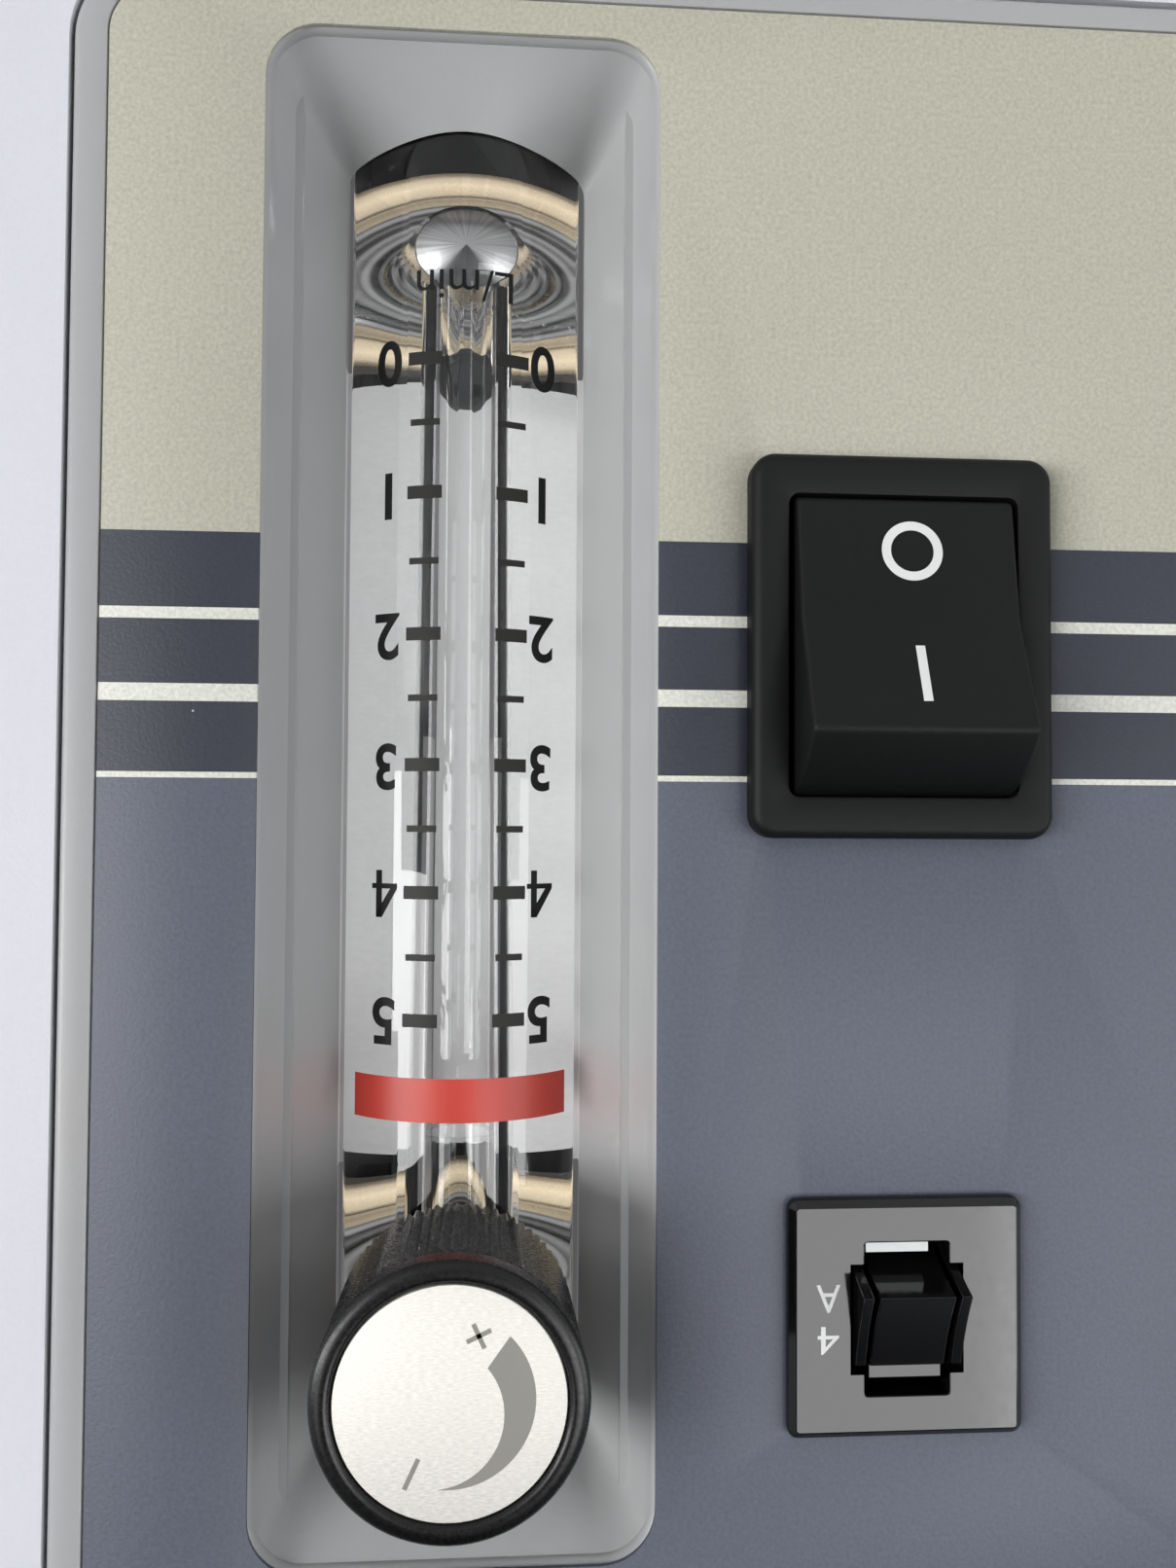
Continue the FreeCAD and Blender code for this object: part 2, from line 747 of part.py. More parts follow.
def backing_plate():
    y = front_y + block_back
    return block(flow_x - block_w / 2, flow_x + block_w / 2, y, y + 1,
                 panel_z + inlet_dz + collar_r + 0.7, panel_z + knob_dz - collar_r - 1.5)


def stub_reach():
    """How far a stub's tip is behind the block."""
    return collar_t + stub_hex_t + stub_len


def flow_stubs():
    """Threaded stubs in the block's two rear ports, each with a collar and a hex."""
    stubs = []
    engaged = stub_engaged
    tip = stub_reach()
    for dz in (inlet_dz, knob_dz):
        seat = panel_point(flow_x, block_back, dz)
        tail = turned([(0, -engaged), (port_r - run_gap, -engaged),
                       (port_r - run_gap, seal_t), (seal_r, seal_t), (seal_r, 0),
                       (collar_r, 0), (collar_r, collar_t), (stub_r, collar_t),
                       (stub_r, tip - 4), (stub_r + 0.5, tip - 3), (stub_r - 0.4, tip),
                       (0, tip)], seat, (0, 1, 0))
        nut = hexagon((seat[0], seat[1] + collar_t, seat[2]), (0, 1, 0), stub_hex,
                      stub_hex_t)
        start = (seat[0], seat[1] - engaged - 1, seat[2])
        stubs.append(tail.fuse(nut).cut(rod(start, (0, 1, 0), tip + engaged + 2, 1.6)))
    return Part.makeCompound(stubs)


def valve_bushing():
    nose = -block_nose
    profile = [(needle_r + run_gap, nose - 8), (bushing_r, nose - 8), (bushing_r, nose),
               (bushing_flange_r, nose), (bushing_flange_r, nose + bushing_flange_t),
               (spigot_r, nose + bushing_flange_t), (spigot_r, spigot_end),
               (needle_r + run_gap, spigot_end)]
    return turned(profile, panel_point(flow_x, 0, knob_dz), (0, -1, 0))


def valve_needle():
    head = spigot_end - valve_travel - 1.0
    profile = [(0, -seat_depth - 0.6), (0.6, -seat_depth - 0.6),
               (needle_r, -seat_depth + 1.8), (needle_r, head), (0, head)]
    return turned(profile, panel_point(flow_x, 0, knob_dz), (0, -1, 0))


def rib_wire(radius, height):
    """A ring of fine ribs as one closed outline."""
    corners = []
    for index in range(2 * knob_ribs):
        angle = math.pi * index / knob_ribs
        reach = radius if index % 2 == 0 else radius - rib_depth
        corners.append(Vector(reach * math.cos(angle), reach * math.sin(angle), height))
    return Part.makePolygon(corners + corners[:1])


def knob():
    low = fit_gap - block_nose
    ring = knob_proud - knob_ring
    ribs = Part.makeLoft([rib_wire(knob_base_r, low), rib_wire(knob_r, ring)], True, True)
    ribs.Placement = Placement(Vector(*panel_point(flow_x, 0, knob_dz)),
                               Rotation(Vector(0, 0, 1), Vector(0, -1, 0)))
    lip = disc_r + 0.1
    bed = knob_proud - 0.2 - disc_t
    cap = turned([(0, ring - 1), (knob_r - 0.5, ring - 1), (knob_r - 0.5, ring + 0.3),
                  (knob_r, ring + 0.5), (knob_r, knob_proud - 1.0),
                  (lip + 0.3, knob_proud), (lip, knob_proud), (lip, bed), (0, bed)],
                 panel_point(flow_x, 0, knob_dz), (0, -1, 0))
    flange_top = bushing_flange_t + fit_gap - block_nose
    hollow = turned([(0, low - 1), (bushing_flange_r + 0.5, low - 1),
                     (bushing_flange_r + 0.5, flange_top),
                     (spigot_r + run_gap, flange_top),
                     (spigot_r + run_gap, spigot_end + fit_gap),
                     (0, spigot_end + fit_gap)],
                    panel_point(flow_x, 0, knob_dz), (0, -1, 0))
    return ribs.fuse(cap).cut(hollow)


def knob_disc():
    start = panel_point(flow_x, -(knob_proud - 0.2 - disc_t), knob_dz)
    return rod(start, (0, -1, 0), disc_t, disc_r)


# ---- switch --------------------------------------------------------------------------
def switch_pivot():
    return Vector(*panel_point(switch_x, rocker_pivot_depth, switch_dz))


def side_form(pivot, outline, half, tilt):
    """A form with a (z, outward) outline, square across X, tilted about its pivot."""
    points = [(-half, -out, z) for z, out in outline]
    shape = prism(points, (2 * half, 0, 0))
    shape.translate(pivot)
    shape.rotate(pivot, Vector(1, 0, 0), tilt)
    return shape


def switch_body():
    z = panel_z + switch_dz
    frame = front_slab(switch_x, z, switch_w, switch_h, overlay_y - switch_proud,
                       overlay_y, switch_r)
    face = overlay_y - switch_proud
    rim = [edge for edge in frame.Edges if abs(edge.BoundBox.YMax - face) < 1e-6]
    frame = frame.makeFillet(0.9, rim)
    body = front_slab(switch_x, z, switch_body_w, switch_body_h, overlay_y - 1,
                      overlay_y + switch_body_d, 0.8)
    pivot = switch_pivot()
    half = switch_open_w / 2
    pocket = rod((switch_x - half, pivot.y, pivot.z), (1, 0, 0), switch_open_w,
                 rocker_r + fit_gap)
    mouth = front_slab(switch_x, z, switch_open_w, switch_open_h, face - 1, pivot.y, 0.8)
    reach = rocker_w / 2 + trunnion_len + 0.25
    pins = rod((switch_x - reach, pivot.y, pivot.z), (1, 0, 0), 2 * reach,
               trunnion_r + run_gap)
    return cut_all(frame.fuse(body), [pocket, mouth, pins])


def switch_rocker():
    pivot = switch_pivot()
    half = rocker_w / 2
    drum = rod((switch_x - half, pivot.y, pivot.z), (1, 0, 0), rocker_w, rocker_r)
    edge_z = math.sqrt(rocker_r ** 2 - rocker_edge_h ** 2)
    middle = rocker_edge_h - rocker_dip
    far = middle + rocker_dip * rocker_r / edge_z
    outline = [(-rocker_r, -4), (rocker_r, -4), (rocker_r, far), (0, middle),
               (-rocker_r, far)]
    face = side_form(pivot, outline, half, 0)
    shape = drum.common(face)
    edges = []
    for edge in shape.Edges:
        if along(edge, (1, 0, 0)) and edge.CenterOfMass.y < pivot.y - middle - 0.5:
            edges.append(edge)
    shape = shape.makeFillet(0.6, edges)
    reach = half + trunnion_len
    pins = rod((switch_x - reach, pivot.y, pivot.z), (1, 0, 0), 2 * reach, trunnion_r)
    shape = shape.fuse(pins)
    shape.rotate(pivot, Vector(1, 0, 0), rocker_tilt)
    return shape


# ---- circuit breaker -----------------------------------------------------------------
def breaker_pivot():
    return Vector(*panel_point(breaker_x, toggle_pivot_depth, breaker_dz))


def breaker_body():
    z = panel_z + breaker_dz
    face = overlay_y - breaker_proud
    plate = front_slab(breaker_x, z, breaker_w, breaker_h, face, overlay_y,
                       breaker_r)
    rim = [edge for edge in plate.Edges if abs(edge.BoundBox.YMax - face) < 1e-6]
    plate = plate.makeChamfer(breaker_bevel, rim)
    body = front_slab(breaker_x, z, breaker_body_w, breaker_body_h, overlay_y - 0.5,
                      overlay_y + breaker_body_d, 0.4)
    pivot = breaker_pivot()
    mouth = block(breaker_x - slot_w / 2, breaker_x + slot_w / 2, face - 1, pivot.y,
                  z - slot_h / 2, z + slot_h / 2)
    cuts = [mouth]
    reach = slot_w / 2 + ear_t + fit_gap
    for half, radius in ((slot_w / 2, math.hypot(toggle_foot_z, toggle_foot_h) + fit_gap),
                         (reach, math.hypot(ear_z, ear_h) + fit_gap),
                         (reach + 0.6, toggle_pin_r + run_gap)):
        cuts.append(rod((breaker_x - half, pivot.y, pivot.z), (1, 0, 0), 2 * half, radius))
    return cut_all(plate.fuse(body), cuts)


def mirrored(outline):
    """Closes half an outline, given from its root up to the crest, about its crest."""
    return outline + [(-z, out) for z, out in reversed(outline[:-1])]


def toggle_hollows(pivot):
    """Shallow hollows along the two thumb faces, each side of the crest."""
    run = toggle_edge_z
    rise = toggle_ridge_h - toggle_edge_h
    chord = math.hypot(run, rise)
    radius = (chord ** 2 / 4 + toggle_hollow ** 2) / (2 * toggle_hollow)
    away = radius - toggle_hollow
    half = slot_w / 2 + ear_t + 1
    tools = []
    for side in (-1, 1):
        z = side * (run / 2 + away * rise / chord)
        out = (toggle_ridge_h + toggle_edge_h) / 2 + away * run / chord
        tools.append(rod((pivot.x - half, pivot.y - out, pivot.z + z), (1, 0, 0),
                         2 * half, radius))
    return tools


def breaker_rocker():
    pivot = breaker_pivot()
    crest = (0, toggle_ridge_h)
    turn = math.radians(toggle_tilt)
    step = (toggle_edge_z - toggle_step * math.sin(turn),
            toggle_edge_h - toggle_step * math.cos(turn))
    outline = [(toggle_foot_z - 0.7, toggle_root), (toggle_foot_z, toggle_foot_h), step,
               (toggle_edge_z, toggle_edge_h), crest]
    paddle = side_form(pivot, mirrored(outline), toggle_w / 2, 0)
    fins = side_form(pivot, mirrored([(ear_z, toggle_root), (ear_z, ear_h), crest]),
                     slot_w / 2 + ear_t, 0)
    groove = side_form(pivot, [(-9, ear_h - 1), (9, ear_h - 1), (9, 9), (-9, 9)],
                       slot_w / 2, 0)
    reach = slot_w / 2 + ear_t + fit_gap + 0.5
    pins = rod((breaker_x - reach, pivot.y, pivot.z), (1, 0, 0), 2 * reach, toggle_pin_r)
    shape = fuse_all([paddle, fins.cut(groove), pins])
    shape = cut_all(shape, toggle_hollows(pivot))
    shape.rotate(pivot, Vector(1, 0, 0), toggle_tilt)
    return shape


def breaker_indicator():
    z = panel_z + breaker_dz - slot_h / 2
    right = breaker_x + slot_w / 2 - 0.15
    face = overlay_y - breaker_proud
    return block(right - 5.1, right, face + 0.1, face + 0.6, z + 0.02, z + 0.77)


def contact_blades():
    """Flat terminals behind the switch and breaker, and the mains inlet's pins."""
    blades = []
    for x in (-6.0, 6.0):
        for dz in (-7.0, 7.0):
            blades.append((switch_x + x, overlay_y + switch_body_d, switch_dz + dz))
    for dz in (-5.0, 5.0):
        blades.append((breaker_x, overlay_y + breaker_body_d, breaker_dz + dz))
    solids = []
    for x, y, dz in blades:
        z = panel_z + dz
        tab = block(x - 3.15, x + 3.15, y, y + 9, z - 0.4, z + 0.4)
        solids.append(tab.cut(rod((x, y + 5, z - 1), (0, 0, 1), 2, 0.9)))
    return Part.makeCompound(solids + mains_pins())


def panel_screws():
    """Screws through the bezel's flange corners into the front cover."""
    screws = []
    for sx in (-1, 1):
        for sz in (-1, 1):
            x = sx * (panel_w / 2 - 12)
            z = panel_z + sz * (panel_h / 2 + 2.9)
            head = rod((x, front_y + wall + panel_flange_t, z), (0, 1, 0), 1.6, 2.6)
            screws.append(head)
    return screws


# ---- rear fittings -------------------------------------------------------------------
def intake_grille():
    gap = fit_gap
    width = intake_w - 2 * gap
    height = intake_h - 2 * gap
    thick = 6.0
    frame = front_slab(0, intake_z, width, height, rear_y - thick, rear_y, intake_r - gap)
    hollow = front_slab(0, intake_z, width - 14, height - 14, rear_y - thick - 1,
                        rear_y + 1, 3.0)
    frame = frame.cut(hollow)
    notch = rod((0, rear_y - 3, intake_z - height / 2), (0, 1, 0), 4, 9)
    frame = frame.cut(notch)
    parts = [frame]
    count = int((height - 14) / slat_pitch)
    for index in range(count):
        z = intake_z + (index - (count - 1) / 2) * slat_pitch
        slat = prism([(-width / 2 + 5, rear_y - thick + 0.5, z + 2),
                      (-width / 2 + 5, rear_y - 0.6, z - 2),
                      (-width / 2 + 5, rear_y - 0.6, z - 2 + slat_t),
                      (-width / 2 + 5, rear_y - thick + 0.5, z + 2 + slat_t)],
                     (width - 10, 0, 0))
        parts.append(slat)
    return fuse_all(parts)


def intake_foam():
    y0 = rear_y - intake_depth
    return front_slab(0, intake_z, intake_w - 1, intake_h - 1, y0, y0 + foam_t,
                      intake_r - 0.5)


def mains_outline(gap, y0, y1):
    """The inlet's outline: a rectangle with its two upper corners cut off."""
    half_w = mains_w / 2 + gap
    half_h = mains_h / 2 + gap
    cut = 4.5
    points = [(mains_x - half_w, y0, mains_z - half_h),
              (mains_x + half_w, y0, mains_z - half_h),
              (mains_x + half_w, y0, mains_z + half_h - cut),
              (mains_x + half_w - cut, y0, mains_z + half_h),
              (mains_x - half_w + cut, y0, mains_z + half_h),
              (mains_x - half_w, y0, mains_z + half_h - cut)]
    return prism(points, (0, y1 - y0, 0))


def mains_plate(gap, y1):
    return front_slab(mains_x, mains_z, mains_w + 2 * (mains_lip + gap),
                      mains_h + 2 * (mains_lip + gap), rear_y - mains_flange, y1,
                      2.0 + gap)


def mains_inlet():
    plate = mains_plate(0, rear_y)
    body = mains_outline(0, rear_y - mains_depth, rear_y - 1)
    hollow = mains_outline(-1.5, rear_y - mains_depth + 3, rear_y + 1)
    return plate.fuse(body).cut(hollow)


def mains_pins():
    pins = []
    for x, dz in ((-pin_pitch, -1.5), (pin_pitch, -1.5), (0, 2.5)):
        y0 = rear_y - mains_depth + 3
        pins.append(round_block(mains_x + x - 1, mains_x + x + 1, y0, y0 + 12.5,
                                mains_z + dz - 2, mains_z + dz + 2, 0.4, (0, 1, 0)))
        pins.append(block(mains_x + x - 1, mains_x + x + 1, y0 - 11, y0 - 3,
                          mains_z + dz - 2, mains_z + dz + 2))
    return pins


# ---- casters -------------------------------------------------------------------------
def caster_places():
    places = {}
    for end, y in (("front", front_y + caster_in_y), ("rear", rear_y - caster_in_y)):
        for side, x in (("left", -side_x + caster_in_x), ("right", side_x - caster_in_x)):
            places[end + "_" + side] = (x, y)
    return places


def caster_plates():
    plates = []
    for x, y in caster_places().values():
        plate = round_block(x - plate_w / 2, x + plate_w / 2, y - plate_w / 2,
                            y + plate_w / 2, base_z - plate_t, base_z, 6, (0, 0, 1))
        race = rod((x, y, base_z - plate_t - race_t), (0, 0, 1), race_t, race_r)
        well = rod((x, y, base_z - plate_t - race_t - 1), (0, 0, 1), race_t + 1,
                   4 + run_gap)
        plates.append(plate.fuse(race).cut(well))
    return Part.makeCompound(plates)


def caster_fork(x, y):
    top = base_z - plate_t - race_t - fit_gap
    crown = rod((x, y, top - fork_t), (0, 0, 1), fork_t, race_r)
    kingpin = rod((x, y, top - fork_t), (0, 0, 1), fork_t + race_t, 4)
    parts = [crown, kingpin]
    inner = wheel_w / 2 + fork_side
    for side in (-1, 1):
        x0 = x + side * inner if side > 0 else x - inner - fork_t
        outline = [(x0, y - 12, top - fork_t), (x0, y - 12, top), (x0, y + 12, top),
                   (x0, y + trail + 9, wheel_r + 4), (x0, y + trail + 8, wheel_r - 3),
                   (x0, y + trail - 7, wheel_r - 4), (x0, y + trail - 10, wheel_r + 2)]
        cheek = prism(outline, (fork_t, 0, 0))
        cheek = cheek.fuse(rod((x0, y + trail, wheel_r), (1, 0, 0), fork_t, 8))
        parts.append(cheek)
    bridge = block(x - inner - fork_t, x + inner + fork_t, y - 10, y + 10,
                   top - fork_t, top)
    parts.append(bridge)
    bore = rod((x - 40, y + trail, wheel_r), (1, 0, 0), 80, axle_r + run_gap)
    return Part.makeCompound([fuse_all(parts).cut(bore), caster_axle(x, y)])


def caster_axle(x, y):
    half = wheel_w / 2 + fork_side + fork_t
    pin = rod((x - half, y + trail, wheel_r), (1, 0, 0), 2 * half, axle_r)
    heads = [pin]
    for start, way in ((x - half, -1), (x + half, 1)):
        heads.append(rod((start, y + trail, wheel_r), (way, 0, 0), 1.6, axle_r + 1.5))
    return fuse_all(heads)


def caster_wheel(x, y):
    half = wheel_w / 2
    bore_r = axle_r + 2 * run_gap
    rim = wheel_r - 6
    profile = [(bore_r, -half), (9, -half), (rim - 2, -half + 3), (rim, -half),
               (wheel_r - 2, -half), (wheel_r, -half + 4), (wheel_r, half - 4),
               (wheel_r - 2, half), (rim, half), (rim - 2, half - 3), (9, half),
               (bore_r, half)]
    return turned(profile, (x, y + trail, wheel_r), (1, 0, 0))


# ---- inside: compressor --------------------------------------------------------------
def sound_box():
    t = soundbox_wall
    outer = block(soundbox_left, soundbox_right, soundbox_front, soundbox_rear, floor_z,
                  fan_z)
    inner = block(soundbox_left + t, soundbox_right - t, soundbox_front + t,
                  soundbox_rear - t, floor_z + t, fan_z - t)
    throat = rod((fan_x, fan_y, fan_z - t - 1), (0, 0, 1), t + 2, fan_blade_r)
    half = soundbox_w / 4
    exhaust = block(soundbox_x - half, soundbox_x + half, soundbox_front - 1,
                    soundbox_front + t + 1, floor_z + 10, floor_z + 34)
    return cut_all(outer, [inner, throat, exhaust])


def crank_x():
    return motor_len / 2 + crank_len / 2


def compressor_case():
    axis = (soundbox_x, soundbox_y, motor_z)
    half = motor_len / 2
    profile = [(0, -half), (motor_r - 6, -half), (motor_r - 6, -half + 12),
               (motor_r, -half + 14), (motor_r, half - 14), (motor_r - 6, half - 12),
               (motor_r - 6, half), (0, half)]
    parts = [turned(profile, axis, (1, 0, 0))]
    for side in (-1, 1):
        x = soundbox_x + side * crank_x()
        crank = round_block(x - crank_len / 2, x + crank_len / 2,
                            soundbox_y - crank_w / 2, soundbox_y + crank_w / 2,
                            motor_z - crank_w / 2, motor_z + crank_w / 2, 10, (1, 0, 0))
        parts.append(crank)
    bore = rod((soundbox_x - shaft_len, soundbox_y, motor_z), (1, 0, 0), 2 * shaft_len,
               shaft_r + run_gap)
    return fuse_all(parts).cut(bore)


def compressor_heads():
    """Finned cylinders with a head plate on top of each crankcase."""
    heads = []
    for side in (-1, 1):
        x = soundbox_x + side * crank_x()
        low = motor_z + crank_w / 2
        half = crank_len / 2
        wide = head_w / 2
        shape = block(x - half, x + half, soundbox_y - wide, soundbox_y + wide, low,
                      low + head_h + head_t)
        for index in range(4):
            z = low + 6 + index * 10
            ring = block(x - half - 1, x + half + 1, soundbox_y - wide - 1,
                         soundbox_y + wide + 1, z, z + 5)
            core = rod((x, soundbox_y, z), (0, 0, 1), 5, half - 2)
            shape = shape.cut(ring.cut(core))
        heads.append(shape)
    return Part.makeCompound(heads)


def compressor_shaft():
    return rod((soundbox_x - shaft_len / 2, soundbox_y, motor_z), (1, 0, 0), shaft_len,
               shaft_r - run_gap)


def vane_wheel(x):
    """A hub with straight raked vanes, bored for the shaft."""
    wheel = rod((x, soundbox_y, motor_z), (1, 0, 0), vane_t, hub_r)
    parts = [wheel]
    for index in range(8):
        vane = block(x + 1, x + vane_t - 1, soundbox_y - 1, soundbox_y + 1,
                     motor_z + hub_r - 2, motor_z + vane_r)
        vane.rotate(Vector(x + vane_t / 2, soundbox_y, motor_z), Vector(0, 0, 1), 25)
        vane.rotate(Vector(x, soundbox_y, motor_z), Vector(1, 0, 0), 45 * index)
        parts.append(vane)
    bore = rod((x - 1, soundbox_y, motor_z), (1, 0, 0), vane_t + 2, shaft_r)
    return fuse_all(parts).cut(bore)


def compressor_vanes():
    end = motor_len / 2 + crank_len + vane_gap
    left = vane_wheel(soundbox_x - end - vane_t)
    right = vane_wheel(soundbox_x + end)
    return Part.makeCompound([left, right])


def compressor_mounts():
    mounts = []
    low = floor_z + soundbox_wall
    top = motor_z - crank_w / 2
    for sx in (-1, 1):
        for sy in (-1, 1):
            place = (soundbox_x + sx * crank_x(), soundbox_y + sy * mount_y, low)
            profile = [(0, 0), (mount_r, 0), (mount_r - 3, (top - low) / 2),
                       (mount_r, top - low), (0, top - low)]
            mounts.append(turned(profile, place, (0, 0, 1)))
    return Part.makeCompound(mounts)


# ---- inside: cooling -----------------------------------------------------------------
def fan_frame():
    half = fan_size / 2
    shape = round_block(fan_x - half, fan_x + half, fan_y - half,
                        fan_y + half, fan_z, fan_z + fan_t, 6, (0, 0, 1))
    shape = shape.cut(rod((fan_x, fan_y, fan_z - 1), (0, 0, 1), fan_t + 2,
                          fan_blade_r + 1.5))
    parts = [shape, rod((fan_x, fan_y, fan_z), (0, 0, 1), 4, fan_hub_r),
             rod((fan_x, fan_y, fan_z), (0, 0, 1), fan_t - 8, 3)]
    for index in range(3):
        arm = block(fan_x, fan_x + fan_blade_r + 3, fan_y - 3,
                    fan_y + 3, fan_z, fan_z + 4)
        arm.rotate(Vector(fan_x, fan_y, fan_z), Vector(0, 0, 1),
                   30 + 120 * index)
        parts.append(arm)
    return fuse_all(parts)


def fan_rotor():
    low = fan_z + 4 + fit_gap
    high = fan_z + fan_t - 4
    parts = [rod((fan_x, fan_y, low), (0, 0, 1), high - low, fan_hub_r - 2)]
    for index in range(fan_blades):
        blade = block(fan_hub_r - 4, fan_blade_r, -1, 1, -13, 13)
        blade.rotate(Vector(0, 0, 0), Vector(1, 0, 0), 50)
        blade.translate(Vector(fan_x, fan_y, (low + high) / 2))
        blade.rotate(Vector(fan_x, fan_y, 0), Vector(0, 0, 1),
                     360.0 * index / fan_blades)
        parts.append(blade)
    pin = rod((fan_x, fan_y, fan_z), (0, 0, 1), fan_t - 8 + fit_gap, 3 + run_gap)
    return fuse_all(parts).cut(pin)


def cooling_coil():
    """A flat serpentine tube that lies on the fan frame."""
    z = fan_z + fan_t + hose_r
    half = fan_size / 2
    rows = []
    count = 4
    for index in range(count):
        y = fan_y - 45 + index * 30
        ends = (-half + 4, half - 4) if index % 2 == 0 else (half - 4, -half + 4)
        for x in ends:
            rows.append((fan_x + x, y, z))
    return hose(rows, hose_r)


# ---- inside: air path ----------------------------------------------------------------
def canister(x, y, z0, length, radius):
    """A drawn tube with a thicker ribbed cap at each end."""
    cap_r = radius + cap_lip
    profile = [(0, 0), (cap_r, 0), (cap_r, cap_t), (radius, cap_t),
               (radius, length - cap_t), (cap_r, length - cap_t), (cap_r, length),
               (0, length)]
    return turned(profile, (x, y, z0), (0, 0, 1))


def sieve_beds():
    beds = []
    for index in range(2):
        beds.append(canister(bed_x, bed_y - index * bed_pitch, floor_z, bed_len, bed_r))
    return Part.makeCompound(beds)


def product_tank():
    return canister(bed_x, bed_y - 2 * bed_pitch, floor_z, bed_len - 40, bed_r)


def valve_manifold():
    z = floor_z + bed_len
    shape = round_block(bed_x - manifold_x, bed_x + manifold_x,
                        bed_y - bed_pitch - manifold_end, bed_y + manifold_end, z,
                        z + manifold_h, 6, (0, 0, 1))
    port = rod((bed_x, bed_y - bed_pitch / 2, z + manifold_h / 2), (1, 0, 0),
               manifold_x + 1, hose_r)
    return shape.cut(port)


def solenoid_valves():
    valves = []
    z = floor_z + bed_len + manifold_h
    for index in range(4):
        y = bed_y - bed_pitch / 2 + (index - 1.5) * valve_step
        body = rod((bed_x, y, z), (0, 0, 1), valve_h, valve_r)
        yoke = block(bed_x - valve_r - 2, bed_x + valve_r + 2, y - 8, y + 8, z, z + 3)
        cap = hexagon((bed_x, y, z + valve_h), (0, 0, 1), 10, 4)
        valves.append(fuse_all([body, yoke, cap]))
    return Part.makeCompound(valves)


def regulator_z():
    return floor_z + bed_len - 40


def pressure_regulator():
    low = regulator_z()
    y = bed_y - 2 * bed_pitch
    profile = [(0, 0), (10, 0), (10, 6), (19, 8), (19, 20), (22, 21), (22, 24), (16, 26),
               (13, 40), (0, 40)]
    body = turned(profile, (bed_x, y, low), (0, 0, 1))
    port = rod((bed_x, y, low + 14), (1, 0, 0), 28, 3.2)
    return body.fuse(port)


def intake_filter():
    x = soundbox_right - filter_r - cap_lip - 5.5
    return canister(x, soundbox_y, fan_z, filter_len, filter_r)


def exhaust_muffler():
    near = muffler_r - 2
    profile = [(0, 0), (near, 0), (muffler_r, 2), (muffler_r, muffler_len - 2),
               (near, muffler_len), (0, muffler_len)]
    return turned(profile, (soundbox_x - 3, soundbox_front - muffler_r - 2,
                            floor_z + muffler_r), (1, 0, 0))


def run_capacitor():
    x = soundbox_left + capacitor_r + 17.0
    y = soundbox_front - capacitor_r - 4.0
    top = capacitor_len
    profile = [(0, 0), (capacitor_r, 0), (capacitor_r, top - 2), (capacitor_r - 2, top),
               (0, top)]
    can = turned(profile, (x, y, floor_z), (0, 0, 1))
    tabs = block(x - 6, x + 6, y - 3, y + 3, floor_z + top, floor_z + top + 8)
    return can.fuse(tabs)


# ---- inside: electronics and hoses ---------------------------------------------------
def board_place():
    return soundbox_left + 8, board_y, fan_z + standoff


def control_board():
    x, y, z = board_place()
    parts = [block(x, x + board_w, y, y + board_d, z, z + board_t)]
    parts.append(block(x + 6, x + 36, y + 6, y + 32, z + board_t, z + board_t + 22))
    parts.append(rod((x + 48, y + 14, z + board_t), (0, 0, 1), 20, 7))
    parts.append(block(x + 60, x + 78, y + 20, y + 34, z + board_t, z + board_t + 14))
    for dx in (5.0, board_w - 5.0):
        for dy in (4.0, board_d - 4.0):
            parts.append(rod((x + dx, y + dy, fan_z), (0, 0, 1), standoff, 3))
    buzzer = rod((x + board_w - 17, y + 13, z + board_t), (0, 0, 1), 9, 8)
    return Part.makeCompound([fuse_all(parts), buzzer])


def air_hoses():
    """Regulator to flowmeter, flowmeter to outlet, and coil to manifold."""
    stub_y = front_y + block_back + stub_reach()
    inlet = panel_point(flow_x, 0, inlet_dz)
    valve = panel_point(flow_x, 0, knob_dz)
    tank_y = bed_y - 2 * bed_pitch
    reg_z = regulator_z() + 14
    supply = hose([(bed_x + 28, tank_y, reg_z), (bed_x + 60, tank_y, reg_z),
                   (-30, tank_y - 8, (reg_z + inlet[2]) / 2),
                   (flow_x, stub_y + 24, inlet[2]), (flow_x, stub_y, inlet[2])],
                  hose_r)
    barb_y = front_y + cup_depth + outlet_tail
    feed = hose([(flow_x, stub_y, valve[2]), (flow_x, stub_y + 26, valve[2]),
                 (flow_x + 30, stub_y + 34, valve[2] - 50),
                 (flow_x + 26, stub_y + 30, outlet_z + 40),
                 (0, barb_y + 30, outlet_z), (0, barb_y, outlet_z)], hose_r)
    coil_z = fan_z + fan_t + hose_r
    coil_x = fan_x - fan_size / 2 + 4
    port_y = bed_y - bed_pitch / 2
    port_z = floor_z + bed_len + manifold_h / 2
    link = hose([(coil_x, fan_y + 45, coil_z), (coil_x - 20, fan_y + 45, coil_z),
                 (coil_x - 30, port_y, (coil_z + port_z) / 2),
                 (bed_x + 50, port_y, port_z), (bed_x + 28, port_y, port_z)], hose_r)
    return Part.makeCompound([supply, feed, link])


